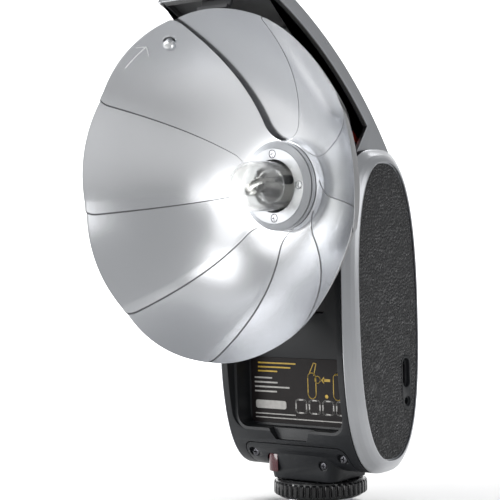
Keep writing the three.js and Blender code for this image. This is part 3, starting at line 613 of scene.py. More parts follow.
def leaf_row(radius, middle, layer):
    """A leaf's front and back points at a radius. Its edges and its rim are drawn in a little."""
    over = max(0.0, radius - (LEAF_OUTER - LEAF_CORNER))
    inset = math.degrees((LEAF_CORNER - math.sqrt(max(0.0, LEAF_CORNER ** 2 - over ** 2))) / radius)
    turn = eased(LEAF_COLUMNS, 0.3) * (LEAF_WIDTH / 2 - inset + root_flare(radius))
    from_edge = np.radians(np.minimum(turn - turn[0], turn[-1] - turn)) * radius
    roll = EDGE_DROP * (1 - np.clip(from_edge / EDGE_ROUND, 0, 1)) ** 2
    sink = EDGE_DROP if radius > LEAF_OUTER - EDGE_DROP else 0.0
    y = leaf_y(radius, turn, layer)
    front = hub_points(radius, y + np.maximum(roll, sink), middle + turn)
    return front, hub_points(radius, y + LEAF_THICK - sink, middle + turn)


def leaf_faces(rows, border):
    """A leaf's faces and the material of each: its front, its back, then its border. The border's walls and the
    front's last strip along its end edge get a dark grey as painted shadow of the gap between overlapping
    leaves; the back gets a dark grey as painted shade.
    """
    offset = rows * LEAF_COLUMNS
    sheet = ring_faces(rows, LEAF_COLUMNS, closed=False)
    back = [tuple(offset + i for i in face[::-1]) for face in sheet]
    faces = sheet + back + skirt_faces(border, [offset + i for i in border])
    # The border's walls get the dark grey, a painted shadow under each leaf's edge
    looks = np.full(len(faces), LEAF_LOOKS.index("leaf_edge_painted_shadow"))
    looks[:len(sheet)] = LEAF_LOOKS.index("reflector")
    # The front's last strip along the leaf's end edge is also painted dark, as the shadow of the gap over the
    # next leaf
    looks[LEAF_COLUMNS - 2:len(sheet):LEAF_COLUMNS - 1] = LEAF_LOOKS.index("leaf_edge_painted_shadow")
    # The back faces get the dark grey, painted shade for the shadowed outside
    looks[len(sheet):2 * len(sheet)] = LEAF_LOOKS.index("leaf_back_painted_shade")
    rim = (rows - 1) * LEAF_COLUMNS
    for i, ends in enumerate(zip(border, border[1:] + border[:1])):
        if min(ends) >= rim:
            looks[2 * len(sheet) + i] = LEAF_LOOKS.index("reflector")
    return faces, looks


def make_leaf(number):
    """One leaf: a thin sector of the bowl with round outer corners, on its root ring."""
    layer = number - 1
    middle = LEAF_START + LEAF_PITCH * layer + LEAF_WIDTH / 2
    fronts, backs = zip(*[leaf_row(radius, middle, layer) for radius in leaf_radii()])
    faces, looks = leaf_faces(len(fronts), grid_border(len(fronts), LEAF_COLUMNS))
    sector = new_object(f"leaf_sheet_{number}", np.vstack(fronts + backs), faces)
    sector.data.polygons.foreach_set("material_index", looks)
    root_y, edge_y = bowl_y(ROOT_RADIUS, layer), bowl_y(ROOT_EDGE, layer) - 0.02
    profile = [(ROOT_RADIUS, root_y), (ROOT_EDGE, edge_y)]
    profile += [(ROOT_EDGE, edge_y + LEAF_THICK), (ROOT_RADIUS, root_y + LEAF_THICK)]
    root = turned(f"leaf_root_{number}", profile, count=72)
    leaf = merge(f"reflector_leaf_{number}", sector, root)
    body = f"leaf_{number}" if number < LEAVES else "head"
    return settle(leaf, LEAF_LOOKS, body, "reflector_metal", f"leaf_{number}", angle=60)


def make_leaf_knob():
    """The domed pull on the front leaf, on a low collar."""
    at, degrees, radius, height = 58.2, 113.5, 2.5, 1.9
    slope = (bowl_y(at + 1) - bowl_y(at - 1)) / 2
    angle = math.radians(degrees)
    out = Vector((slope * math.cos(angle), -1, slope * math.sin(angle))).normalized()
    foot = [(0, -0.42), (radius * 0.6, -0.42), (radius * 0.6, -0.05), (radius, 0.0)]
    profile = foot + dome(radius, 0.12 * height, height, 14)
    knob = turned("leaf_knob_dome", profile, centre=(0, 0), axis="z", count=40)
    turn = Vector((0, 0, 1)).rotation_difference(out).to_matrix().to_4x4()
    place = Vector(hub_points(at, bowl_y(at), np.array([degrees]))[0]) + out * 0.5
    knob.data.transform(Matrix.Translation(place * MM) @ turn)
    return settle(knob, "knob", "leaf_1", "polished_knob", "leaf_knob")


def make_leaf_arrow():
    """The turning arrow near the front leaf's rim: a fine raised line through (radius, degrees) points."""
    tail, head, barbs = (61.2, 131.9), (60.8, 120.2), ((59.2, 123.0), (62.1, 122.6))
    parts = []
    for start, end in ((tail, head), (head, barbs[0]), (head, barbs[1])):
        places = np.linspace(start, end, 14)
        path = [hub_points(r, bowl_y(r) + 0.03, np.array([degrees]))[0] for r, degrees in places]
        parts.append(tube("stroke", path, 0.13, 6))
    return settle(merge("leaf_arrow", *parts), "mark", "leaf_1", "polished_knob")


# ---- side frames and panels
def frame_section(side):
    """The side frame's skin: a gently crowned bevel between the body's outline and the panel's rim."""
    across, height = BODY_DEPTH - (PANEL_DEPTH + RIM_WIDTH), RIM_X - FRAME_X
    corners = [(9.0, FRAME_X), (0.0, FRAME_X), (0.0, FRAME_X + 0.35)]
    corners += [(across * t, FRAME_X + height * t + 0.5 * math.sin(math.pi * t)) for t in (0.25, 0.5, 0.75)]
    corners += [(across, RIM_X), (across + RIM_WIDTH - GAP, RIM_X), (across + RIM_WIDTH - GAP, FLOOR_X)]
    rings = []
    for depth, x in fillet(corners, [0, 0.12, 0.3, 0.8, 0.8, 0.8, 0.3, 0.16, 0]):
        share = depth / across
        half_depth = BODY_DEPTH + (PANEL_DEPTH + RIM_WIDTH - BODY_DEPTH) * share
        half_height = BODY_HEIGHT + (PANEL_HEIGHT + RIM_WIDTH - BODY_HEIGHT) * share
        power = BODY_POWER + (PANEL_POWER - BODY_POWER) * min(share, 1.0)
        rings.append(raised(superellipse(half_depth, half_height, power), "x", side * x))
    return loft("side_frame", rings)


USB, USB_HALF, USB_LONG = (12.0, 50.5), 1.75, 4.6
JACK = (12.5, 39.7)
PLATE, PLATE_HALF, PLATE_LONG, PLATE_FLOOR = (12.1, 46.7), 3.1, 10.4, 26


def port_plate(grow, start, end):
    """The stadium-shaped plate round the ports, which also cuts its room."""
    outline = stadium(PLATE, PLATE_HALF + grow, PLATE_LONG + grow)
    return prism("port_plate", "x", outline, start, end)


def make_side_frame(label, side):
    """One of the silver frames, cleared for the fan and, on the right, for the port plate."""
    piece = cut(frame_section(side), *fan_rooms())
    if side > 0:
        cut(piece, port_plate(0.2, PLATE_FLOOR - 4, FAR))
    piece.name = f"silver_frame_{label}"
    return settle(clean(piece), "silver", "body", "silver_frame", f"side_frame_{label}", angle=30)


def cell_height(u, v, size, seed):
    """A pebbled grain: raised cells parted by creases, from 0 in a crease to 1 on a cell."""
    cell_u, cell_v = (u - u.min()) / size + 2, (v - v.min()) / size + 2
    feature = np.random.default_rng(seed).random((int(cell_u.max()) + 3, int(cell_v.max()) + 3, 2))
    base_u, base_v = np.floor(cell_u).astype(int), np.floor(cell_v).astype(int)
    near = np.full(u.shape, 9.0)
    second = near.copy()
    for du in (-1, 0, 1):
        for dv in (-1, 0, 1):
            i, j = base_u + du, base_v + dv
            point = feature[i, j]
            distance = np.hypot(i + point[..., 0] - cell_u, j + point[..., 1] - cell_v)
            second = np.minimum(second, np.maximum(near, distance))
            near = np.minimum(near, distance)
    edge = np.clip((second - near) / 0.5, 0, 1)
    return edge * edge * (3 - 2 * edge) * (1 - 0.55 * near ** 2)


def grain_height(u, v, seed):
    """Leather grain in millimetres, from three sizes of pebble, the larger ones stretched and warped."""
    warp = 0.5 * np.sin(u * 0.9 + 1.3 * np.sin(v * 0.37)) + 0.4 * np.sin(v * 0.8 + u * 0.3)
    coarse = cell_height(u * 1.15 + 0.5 * warp, v + 0.3 * warp, 1.35, seed)
    middle = cell_height(u + 0.3 * warp, v * 1.1 - 0.3 * warp, 0.9, seed + 1)
    fine = cell_height(u, v, 0.5, seed + 2)
    return 0.40 * coarse + 0.09 * middle + 0.04 * fine


def edge_roll(from_edge):
    """A quarter round along a panel's border: 0 on the border and 1 from 0.7 mm inside it."""
    share = np.clip(from_edge / 0.7, 0, 1)
    return np.sqrt(1 - (1 - share) ** 2)


def closed_panel(front, back, rows, columns, strips):
    """A grid of front points over the border of its back, closed by a strip for each row or by one face."""
    border = grid_border(rows, columns)
    offset = rows * columns
    lower = range(offset, offset + len(border))
    faces = ring_faces(rows, columns, closed=False) + skirt_faces(border, lower)
    if strips:
        right = lower[columns - 1:]
        faces += [(lower[-row], right[row], right[row + 1], lower[-row - 1]) for row in range(rows - 1)]
    else:
        faces.append(tuple(lower))
    return new_object("leather", np.vstack([front, back[border]]), faces)


def leather_panel(side, seed):
    """The pebbled panel: a fine grid inside its oval, rolled down at the edge."""
    rows, columns, inset = 500, 170, 0.05
    v, u = eased(rows, 0.35), eased(columns, 0.35)
    half = (1 - np.abs(v) ** PANEL_POWER).clip(0) ** (1 / PANEL_POWER)
    y = BODY_Y + (PANEL_DEPTH - inset) * half[:, None] * u[None, :]
    z = np.repeat(BODY_Z + (PANEL_HEIGHT - inset) * v[:, None], columns, axis=1)
    reach = (np.abs(y - BODY_Y) / PANEL_DEPTH) ** PANEL_POWER
    reach = reach + (np.abs(z - BODY_Z) / PANEL_HEIGHT) ** PANEL_POWER
    roll = edge_roll((1 - reach.clip(0, 1) ** (1 / PANEL_POWER)) * PANEL_DEPTH)
    x = PANEL_X - 0.47 + grain_height(y, z, seed) * roll - 0.15 * (1 - roll)
    front = np.column_stack([side * x.ravel(), y.ravel(), z.ravel()])
    back = front.copy()
    back[:, 0] = side * (FLOOR_X + 0.1)
    return weld(closed_panel(front, back, rows, columns, False), 0.02)


def make_leather(label, side):
    piece = leather_panel(side, 11 if side > 0 else 23)
    if side > 0:
        cut(piece, port_plate(0.1, PLATE_FLOOR - 4, FAR))
    piece.name = f"leather_{label}"
    return settle(piece, "leather", "body", "leatherette", f"leather_panel_{label}", angle=75)


def make_ports():
    """The smooth port plate with its charging port and jack."""
    floor, mouth = PLATE_FLOOR + 1, 31.6
    plate = port_plate(0, PLATE_FLOOR, PANEL_X - 0.12)
    cut(plate, prism("mouth", "x", stadium(USB, USB_HALF + 0.55, USB_LONG + 0.9), mouth, FAR))
    cut(plate, prism("slot", "x", stadium(USB, USB_HALF + 0.05, USB_LONG + 0.1), floor, FAR))
    cut(plate, rod("jack_mouth", "x", 1.9, mouth + 0.9, FAR, JACK, 40))
    cut(plate, rod("jack_bore", "x", 1.3, floor, FAR, JACK, 40))
    settle(soften(plate, 0.14, 3), "shell", "body", "black_gloss", "sync_jack")
    shell = prism("usb_shell", "x", stadium(USB, USB_HALF, USB_LONG), floor + 0.2, mouth - 0.1)
    cut(shell, prism("usb_hollow", "x", stadium(USB, USB_HALF - 0.25, USB_LONG - 0.25), floor + 0.6, FAR))
    half, long = 0.35, 3.3
    low, high = (floor + 0.4, USB[0] - half, USB[1] - long), (mouth - 0.6, USB[0] + half, USB[1] + long)
    settle(soften(block("usb_tongue", low, high), 0.1), "liner", "body", "black_gloss")
    settle(soften(shell, 0.06), "dark_steel", "body", "steel", "usb_port")


# ---- housing
RECESS = {"half": 26.3, "step": 24.9, "step_y": -18.6, "floor_y": -10.9, "bottom": 29.5, "top": 97.8}
WELL = {"half": 13.5, "bottom": 74.0, "floor_y": -1.4}
LABEL = {"half": 23.9, "bottom": 31.6, "top": 56.8}
NOTCH = {"top_half": 9.9, "bottom_half": 7.3, "bottom": 26.2, "top": 31.0, "floor_y": -15.6}
APRON = {"half": 24.2, "top": 24.3, "thick": 2.0}
BASE = {"half": 17.4, "front": -14.6, "rear": 13.8, "corner": 6.4, "top": 22.0, "bottom": 10.4, "taper": 2.3}
SCREW_X, SCREW_Z, SCREW_RADIUS = 21.0, 20.0, 1.5
BLOCK_SCREW, BLOCK_SCREW_RADIUS = (11.4, 16.8), 1.3
SCREW_FLOOR = -12.6
HUB_SCREW_CIRCLE, HUB_SCREW_RADIUS = 12, 1.4
REAR_SCREWS = [(-21, 32), (21, 32), (-21, 106), (21, 106)]
SENSOR = {"low": 13.2, "high": 20.0, "half": 7.0, "outer": 0.3, "inner": -1.1}
DIAL, DIAL_RADIUS, DIAL_REAR, SHAFT_RADIUS = (0, 92), 11.5, 23.0, 2.2
SWITCH, THUMB_WIDE, THUMB_HIGH, SLOT_WIDE = (0, 70), 3.4, 1.8, 6.0
BUTTON, BUTTON_RADIUS, LAMP, LAMP_RADIUS = (-8, 52), 3.6, (8, 52), 1.6
WALL, ROOM_HALF, POCKET_Z = 2.2, 26.6, 100


def base_outline(grow):
    low, high = (-BASE["half"] - grow, BASE["front"] - grow), (BASE["half"] + grow, BASE["rear"] + grow)
    return rounded(low, high, max(BASE["corner"] + grow, 1.0), 10)


def base_body(name, grow):
    """The block under the housing: it tapers towards the ring, with a rounded lower edge."""
    bottom, narrow = BASE["bottom"] - grow, -BASE["taper"]
    places = [(bottom, narrow - 0.5), (bottom + 0.15, narrow - 0.12), (bottom + 0.6, narrow)]
    places.append((BASE["top"] + grow, 0.0))
    return loft(name, [raised(base_outline(out + grow), "z", z) for z, out in places])


def apron_body(name, grow):
    """The low band that wraps the housing's front foot."""
    half = APRON["half"] + grow
    ring = prism(name, "x", body_oval(grow), -half, half)
    cut(ring, prism("apron_core", "x", body_oval(-APRON["thick"] - grow), -FAR, FAR))
    outline = rounded((-half, 0.0), (half, APRON["top"] + grow), 4.0)
    return combine(ring, prism("apron_front", "y", outline, -FAR, -6 + grow), "INTERSECT")


def sensor_body(name, outer, inner, grow):
    """The sensor window, wrapped round the base's left front corner."""
    low, high, reach = SENSOR["low"] - grow, SENSOR["high"] + grow, SENSOR["half"] + grow
    shrink = BASE["taper"] * 0.35
    skin = loft(name, [raised(base_outline(outer - shrink), "z", z) for z in (low - 2, high + 2)])
    cut(skin, loft("sensor_core", [raised(base_outline(inner - shrink), "z", z) for z in (low - 3, high + 3)]))
    window = prism("sensor_window", "y", rounded((-reach, low), (reach, high), 2.8), -FAR, 0)
    centre = Vector((-BASE["half"] + 5.0, BASE["front"] + 3.4, 0)) * MM
    window.data.transform(Matrix.Translation(centre) @ Matrix.Rotation(math.radians(-45), 4, "Z"))
    return combine(skin, window, "INTERSECT")


def sensor_room(grow):
    return sensor_body("sensor_room", SENSOR["outer"] + 0.5, SENSOR["inner"] - 0.3, grow)


def apron_screws(name, radius, rear):
    """Two rods on the apron screws' axes, from the front to a plane."""
    return [rod(name, "y", radius, -FAR, rear, (side * SCREW_X, SCREW_Z), 32) for side in (1, -1)]


def housing_half(name, other_low, other_high):
    """The body's oval, less a block that takes the other half away."""
    piece = prism(name, "x", body_oval(), -SHELL_X, SHELL_X)
    return cut(piece, block("other_half", other_low, other_high))


def housing_room(front_y):
    """The hollow inside the housing, from a plane in front to its rear wall."""
    room = prism("inside", "x", body_oval(-WALL), -ROOM_HALF, ROOM_HALF)
    limit = block("inside_limit", (-ROOM_HALF, front_y, 0), (ROOM_HALF, FAR, RECESS["top"]))
    return combine(room, limit, "INTERSECT")


def cut_recess(piece):
    """The stepped recess that the head folds into, with the bulb well, the finger notch and the label's bed."""
    top = 2 * FAR
    outline = rounded((-RECESS["half"], RECESS["bottom"]), (RECESS["half"], top), 6)
    cut(piece, prism("recess", "y", outline, -FAR, RECESS["step_y"]))
    outline = rounded((-RECESS["step"], RECESS["bottom"] + 1.1), (RECESS["step"], top), 5)
    cut(piece, prism("recess_step", "y", outline, -FAR, RECESS["floor_y"]))
    outline = rounded((-WELL["half"], WELL["bottom"]), (WELL["half"], top), 3)
    cut(piece, prism("bulb_well", "y", outline, -FAR, WELL["floor_y"]))
    corners = [(-NOTCH["bottom_half"], NOTCH["bottom"]), (NOTCH["bottom_half"], NOTCH["bottom"]),
               (NOTCH["top_half"], NOTCH["top"]), (-NOTCH["top_half"], NOTCH["top"])]
    cut(piece, prism("finger_notch", "y", fillet(corners, [1.2, 1.2, 0, 0]), -FAR, NOTCH["floor_y"]))
    half = LABEL["half"] + 0.15
    outline = rounded((-half, LABEL["bottom"] - 0.15), (half, LABEL["top"] + 0.15), 1.6)
    cut(piece, prism("label_bed", "y", outline, RECESS["floor_y"] - 1.1, RECESS["floor_y"] + 0.6))


def housing_front():
    """The front half of the housing."""
    piece = housing_half("housing_front", (-FAR, BODY_Y - GAP / 2, -FAR), (FAR, FAR, 2 * FAR))
    room = housing_room(RECESS["floor_y"] + WALL)
    half = WELL["half"] + WALL
    cut(room, block("well_wall", (-half, -12, WELL["bottom"] - WALL), (half, WELL["floor_y"] + WALL, FAR)))
    cut(piece, room)
    cut_recess(piece)
    cut(piece, block("head_pocket", (-RECESS["half"], -FAR, POCKET_Z), (RECESS["half"], FAR, 2 * FAR)))
    cut(piece, apron_body("apron_room", GAP), base_body("base_room", GAP), sensor_room(0.12))
    cut(piece, *apron_screws("screw_room", SCREW_RADIUS + GAP, 0), *fan_rooms())
    return settle(soften(piece, 0.35, 3), "shell", "body", "charcoal_shell", "front_housing")


def housing_rear():
    """The rear half of the housing, with the places of its controls."""
    piece = housing_half("housing_rear", (-FAR, -FAR, -FAR), (FAR, BODY_Y + GAP / 2, 2 * FAR))
    cut(piece, housing_room(-FAR))
    cut(piece, block("head_pocket", (-RECESS["half"], -FAR, POCKET_Z), (RECESS["half"], 14, 2 * FAR)))
    cut(piece, base_body("base_room", GAP), *fan_rooms())
    cut(piece, rod("dial_bed", "y", DIAL_RADIUS + 0.6, DIAL_REAR - GAP, FAR, DIAL, 96))
    cut(piece, rod("dial_bore", "y", SHAFT_RADIUS + 0.4, 0, FAR, DIAL))
    slot_high = THUMB_HIGH + GAP
    x, z = SWITCH
    slot = rounded((x - SLOT_WIDE, z - slot_high), (x + SLOT_WIDE, z + slot_high), 2)
    cut(piece, prism("switch_slot", "y", slot, 20, FAR))
    cut(piece, rod("button_bore", "y", BUTTON_RADIUS + GAP, 0, FAR, BUTTON))
    cut(piece, rod("lamp_bore", "y", LAMP_RADIUS + GAP, 0, FAR, LAMP))
    for place in REAR_SCREWS:
        cut(piece, rod("rear_well", "y", 2.2, 21.6, FAR, place, 32))
    return settle(soften(piece, 0.35, 3), "shell", "body", "charcoal_shell", "rear_housing")


def make_base():
    """The base block with its apron, screw wells and sensor window."""
    piece = base_body("base", 0.0)
    join(piece, apron_body("apron", 0.0))
    cut(piece, rod("stem_room", "z", 9.8, 0, BASE["bottom"] - 0.1, (0, 0)), sensor_room(0.1))
    cut(piece, *apron_screws("screw_well", SCREW_RADIUS + 0.7, SCREW_FLOOR))
    cut(piece, *apron_screws("screw_bore", SCREW_RADIUS + 0.2, 0))
    cut(piece, rod("block_well", "y", BLOCK_SCREW_RADIUS + 0.6, -FAR, SCREW_FLOOR, BLOCK_SCREW, 32))
    cut(piece, rod("block_bore", "y", BLOCK_SCREW_RADIUS + 0.2, -FAR, -8.5, BLOCK_SCREW, 32))
    settle(soften(piece, 0.45, 3), "shell", "body", "charcoal_shell", "base_block")
    sensor = sensor_body("sensor", SENSOR["outer"], SENSOR["inner"], 0.0)
    settle(soften(sensor, 0.2, 3), "window", "body", "dark_red_window", "sensor_window")


def cross_screw(name, at, radius, head_y, tip_y):
    """A small screw along Y at an (x, z) place: a domed head with a cross recess."""
    away = math.copysign(1.0, head_y - tip_y)
    profile = [(0, tip_y), (radius, tip_y), *dome(radius, head_y - away * 0.16, head_y, 8)]
    screw = turned(name, profile, centre=at, count=32)
    low, high = sorted((head_y - away * 0.9, head_y + away))
    for share_x, share_z in ((1.0, 0.24), (0.24, 1.0)):
        x, z = share_x * radius / 1.5, share_z * radius / 1.5
        cut(screw, block("slot", (at[0] - x, low, at[1] - z), (at[0] + x, high, at[1] + z)))
    return screw


def hub_screw_places():
    """The (x, z) places of the clamp ring's screws, with x from the hub's axis."""
    return [(HUB_SCREW_CIRCLE * x, HUB_Z + HUB_SCREW_CIRCLE * z) for x, z in ((0, 1), (1, 0), (0, -1), (-1, 0))]


def make_screws():
    for label, side in (("left", -1), ("right", 1)):
        screw = cross_screw(f"screw_apron_{label}", (side * SCREW_X, SCREW_Z), SCREW_RADIUS, -13.2, -7)
        settle(screw, "dark_steel", "body", "steel", f"apron_screw_{label}")
    screw = cross_screw("screw_block", BLOCK_SCREW, BLOCK_SCREW_RADIUS, -13.0, -8.8)
    settle(screw, "dark_steel", "body", "steel", "block_screw")
    for i, place in enumerate(REAR_SCREWS, 1):
        screw = cross_screw(f"screw_rear_{i}", place, SCREW_RADIUS, 21.3, 15)
        settle(screw, "dark_steel", "body", "steel", f"rear_screw_{i}")
    head_y = box_mm("hub_screw_1")[0][1]
    for i, place in enumerate(hub_screw_places(), 1):
        screw = cross_screw(f"screw_hub_{i}", place, HUB_SCREW_RADIUS, head_y, -18.5)
        settle(screw, "steel", "head", "steel", f"hub_screw_{i}")


# ---- label
def ink(outline, face):
    """A printed shape as a thin raised piece: (x, z) points on the label's face."""
    return prism("ink", "y", outline, face - 0.03, face + 0.05)


def ink_line(points, face, width, closed=False):
    """A printed line along (x, z) points."""
    points = np.asarray(points, float)
    if closed:
        points = np.vstack([points, points[:1]])
    parts = []
    for start, end in zip(points[:-1], points[1:]):
        along = (end - start) / max(np.linalg.norm(end - start), 1e-9)
        side = np.array([-along[1], along[0]]) * width / 2
        reach = along * width * 0.35
        start, end = start - reach, end + reach
        parts.append(ink([start - side, end - side, end + side, start + side], face))
    return parts


def ink_bar(x0, x1, z, height, face):
    return ink(rounded((x0, z - height / 2), (x1, z + height / 2), height * 0.3, 3), face)


def label_sketch(face):
    """The sketch of the open and the closed flash, with an arrow between them."""
    width = 0.34
    marks = ink_line(stadium((5.6, 46.6), 1.9, 4.9, 6), face, width, True)
    marks += ink_line([(4.6, 51.4), (6.6, 55.3), (7.8, 55.0), (6.6, 50.6)], face, width)
    marks += ink_line(circle(1.3, (8.3, 49.0), 20), face, 0.32, True)
    marks += ink_line([(13.9, 48.9), (11.2, 48.9)], face, 1.0)
    marks += [ink([(11.4, 47.5), (11.4, 50.3), (10.0, 48.9)], face)]
    marks += ink_line(stadium((17.6, 46.6), 1.9, 5.0, 6), face, width, True)
    marks += ink_line([(16.4, 51.0), (17.4, 51.6), (18.4, 50.4)], face, 0.3)
    return marks + [ink(circle(0.75, (12.4, 42.8), 20), face)]


def make_label():
    """The film in the recess, with plain bars, round-cornered boxes and a sketch of the flash."""
    face = RECESS["floor_y"]
    outline = rounded((-LABEL["half"], LABEL["bottom"]), (LABEL["half"], LABEL["top"]), 1.5)
    film = prism("label_film", "y", outline, face, face + 0.3)
    settle(film, "film", "body", "label_film", "label_plate")
    gold = label_sketch(face)
    gold += [ink_bar(-20.5, end, 54.6 - 1.6 * row, 0.55, face) for row, end in enumerate((-2.0, -4.5, -11.0))]
    settle(merge("label_gold_marks", *gold), "gold_ink", "body", "label_film")
    left = -22.3
    ends = (-13.6, -11.0, -5.2, -11.4)
    pale = [ink_bar(left, end, 48.8 - 1.75 * row, 0.6, face) for row, end in enumerate(ends)]
    pale.append(ink_bar(-22.0, -7.0, 38.5, 3.2, face))
    for x in (0.2, 6.6, 13.0, 19.4):
        pale += ink_line(rounded((x - 2.5, 36.0), (x + 2.5, 41.0), 1.2, 4), face, 0.55, True)
    pale += [ink_bar(left, end, 34.9 - 1.5 * row, 0.4, face) for row, end in enumerate((-2.6, 20.4))]
    settle(merge("label_pale_marks", *pale), "pale_ink", "body", "label_film")


# ---- foot and ring
RING = {"low": 3.4, "high": 10.1, "bore": 9.9, "radius": 18.0, "ribs": 44}


def make_foot():
    """The shoe foot, a plate, neck and stem, with its centre contact."""
    origin, pin_radius, pin_tip, pin_top = (0, 0), 1.0, -0.5, 6.0
    wide, deep, neck_wide, neck_deep, neck_top = 9.3, 9.0, 6.15, 8, 3.1
    plate = prism("foot", "z", rounded((-wide, -deep), (wide, deep), 1.2), 0, 2)
    join(plate, block("neck", (-neck_wide, -neck_deep, 1), (neck_wide, neck_deep, neck_top)))
    join(plate, rod("stem", "z", RING["bore"] - 0.4, neck_top - GAP, RING["high"], origin, 96))
    cut(plate, rod("pin_bore", "z", pin_radius + GAP, -1, pin_top + 0.8, origin, 40))
    settle(soften(plate, 0.2, 3), "steel", "body", "steel", "shoe_foot")
    profile = [*dome(pin_radius, pin_tip + 0.35, pin_tip, 8)[::-1], (pin_radius, pin_top), (0, pin_top)]
    pin = turned("contact_tip", profile, centre=origin, axis="z", count=32)
    settle(pin, "contact", "contact_pin", "gold_contact", "contact_pin")


def make_lock_ring():
    """The knurled ring: flat-topped ribs between a chamfered top lip and a smaller lower lip."""
    low, high, bore, radius = RING["low"], RING["high"], RING["bore"], RING["radius"]
    root, flank = radius - 0.85, radius - 0.15
    rib = [(0.08, root), (0.24, flank), (0.32, radius), (0.68, radius), (0.76, flank), (0.92, root)]
    outline = ribbed(RING["ribs"], rib)
    places = [(low + 0.9, 0.955), (low + 1.15, 0.985), (low + 1.5, 1.0)]
    places += [(high - 1.3, 1.0), (high - 0.95, 0.985), (high - 0.7, 0.955)]
    ring = loft("knurled_ring", [raised(outline * scale, "z", z) for z, scale in places])
    profile = [(bore, low), (15.9, low), (16.3, low + 0.3), (16.9, low + 1.3)]
    profile += [(17.2, high - 1.0), (16.9, high - 0.25), (16.6, high), (bore, high)]
    profile = fillet(profile, [0, 0.2, 0.2, 0, 0, 0.2, 0.2, 0], 3)
    join(ring, turned("ring_core", profile, centre=(0, 0), axis="z", count=4 * RING["ribs"]))
    cut(ring, rod("ring_bore", "z", bore, 0, 20, (0, 0), 96))
    settle(clean(ring), "gloss", "lock_ring", "black_gloss", "lock_ring", angle=26)


# ---- rear controls
def shell_y(z):
    """Where the housing's rear face lies at a height."""
    return BODY_Y + BODY_DEPTH * (1 - (abs(z - BODY_Z) / BODY_HEIGHT) ** BODY_POWER) ** (1 / BODY_POWER)


def make_dial():
    """The ribbed power dial with its pointer line."""
    radius, front, rear = DIAL_RADIUS, DIAL_REAR + 3.6, DIAL_REAR
    outline = ribbed(40, [(0.1, radius - 0.45), (0.3, radius), (0.7, radius), (0.9, radius - 0.45)])
    places = [(rear, 0.97), (rear + 0.3, 1.0), (front - 0.6, 1.0), (front - 0.15, 0.975), (front, 0.95)]
    dial = loft("dial", [raised(outline * scale + DIAL, "y", y) for y, scale in places])
    cut(dial, rod("dial_dish", "y", 8.6, front - 0.45, FAR, DIAL, 96))
    join(dial, rod("dial_shaft", "y", SHAFT_RADIUS, 18, rear + 0.5, DIAL, 40))
    settle(clean(dial), "gloss", "power_dial", "black_gloss", "power_dial", angle=28)
    low, high = (-0.4, front - 0.5, DIAL[1] + 4.2), (0.4, front - 0.33, DIAL[1] + 8.2)
    settle(block("dial_pointer", low, high), "pale_ink", "power_dial", "black_gloss")


def dial_tick(number):
    """One tick of the dial's scale on the housing, every third one longer."""
    angle = math.radians(90 - 30 * number)
    along = np.array([math.cos(angle), math.sin(angle)])
    side = np.array([-along[1], along[0]]) * 0.2
    inner, outer = along * 13.0 + DIAL, along * (14.3 if number % 3 else 15.2) + DIAL
    quad = [inner - side, outer - side, outer + side, inner + side]
    verts = [(x, shell_y(z) + rise, z) for rise in (-0.1, 0.04) for x, z in quad]
    faces = [(0, 1, 2, 3), (7, 6, 5, 4), (0, 4, 5, 1), (1, 5, 6, 2), (2, 6, 7, 3), (3, 7, 4, 0)]
    return new_object("tick", verts, faces)


def make_rear_controls():
    """The dial's ticks, the switch's thumb piece, the test button and the ready lamp."""
    ticks = merge("dial_ticks", *[dial_tick(number) for number in range(10)])
    settle(ticks, "pale_ink", "body", "charcoal_shell")
    x, z = SWITCH
    outline = rounded((x - THUMB_WIDE, z - THUMB_HIGH), (x + THUMB_WIDE, z + THUMB_HIGH), 1.7)
    thumb, groove_high = prism("thumb", "y", outline, 21.5, 26.4), THUMB_HIGH - 0.4
    for groove in (x - 1.2, x, x + 1.2):
        cut(thumb, block("groove", (groove - 0.25, 25.9, z - groove_high), (groove + 0.25, 27, z + groove_high)))
    settle(soften(thumb, 0.22, 3), "gloss", "mode_switch", "black_gloss", "mode_switch")
    rear, face = 21, 26.0
    dish = [(BUTTON_RADIUS, rear), (BUTTON_RADIUS, face - 0.45), (BUTTON_RADIUS - 0.45, face)]
    dish += [(2.2, face - 0.1), (1.2, face - 0.22), (0, face - 0.26)]
    profile = [(0, rear), *fillet(dish, [0, 0.2, 0.3, 0, 0, 0], 4)]
    button = turned("button", profile, centre=BUTTON, count=64)
    settle(button, "red", "test_button", "red_plastic", "test_button")
    profile = [(0, rear + 0.5), (LAMP_RADIUS, rear + 0.5), *dome(LAMP_RADIUS, 24.7, 25.3, 10)]
    lamp = turned("lamp", profile, centre=LAMP, count=40)
    settle(lamp, "window", "body", "dark_red_window", "ready_lamp")


# ---- cover
def cover_point(along, inset):
    """A point (y, z) on the cover at a length along its back and an inset towards the bowl."""
    start = math.radians(COVER_LEAN)
    angle = start + along / COVER_RADIUS
    y = COVER_Y + COVER_RADIUS * (np.cos(angle) - math.cos(start)) - inset * np.cos(angle)
    z = COVER_Z + COVER_RADIUS * (np.sin(angle) - math.sin(start)) - inset * np.sin(angle)
    return y, z


def cover_band(name, start, end, outer, inner, span, steps=48):
    """A curved plate of the cover: its reach along the back, its two insets and its two sides."""
    shares = np.linspace(start, end, steps + 1)
    outline = [cover_point(a, outer) for a in shares] + [cover_point(a, inner) for a in shares[::-1]]
    return prism(name, "x", outline, *span)


def side_span(side, inner, outer):
    return (inner, outer) if side > 0 else (-outer, -inner)


def cover_side_outline():
    """A side wall of the cover and its hinge arm, as one outline."""
    angles = np.radians(np.linspace(150, 385, 60))
    arc = list(zip(PIVOT[1] + ARM_RADIUS * np.cos(angles), PIVOT[2] + ARM_RADIUS * np.sin(angles)))
    back = [cover_point(a, 0) for a in np.linspace(0, COVER_LENGTH, 60)]
    front = [cover_point(a, COVER_DEPTH - 0.25) for a in np.linspace(COVER_LENGTH, 17, 50)]
    return back + front + arc


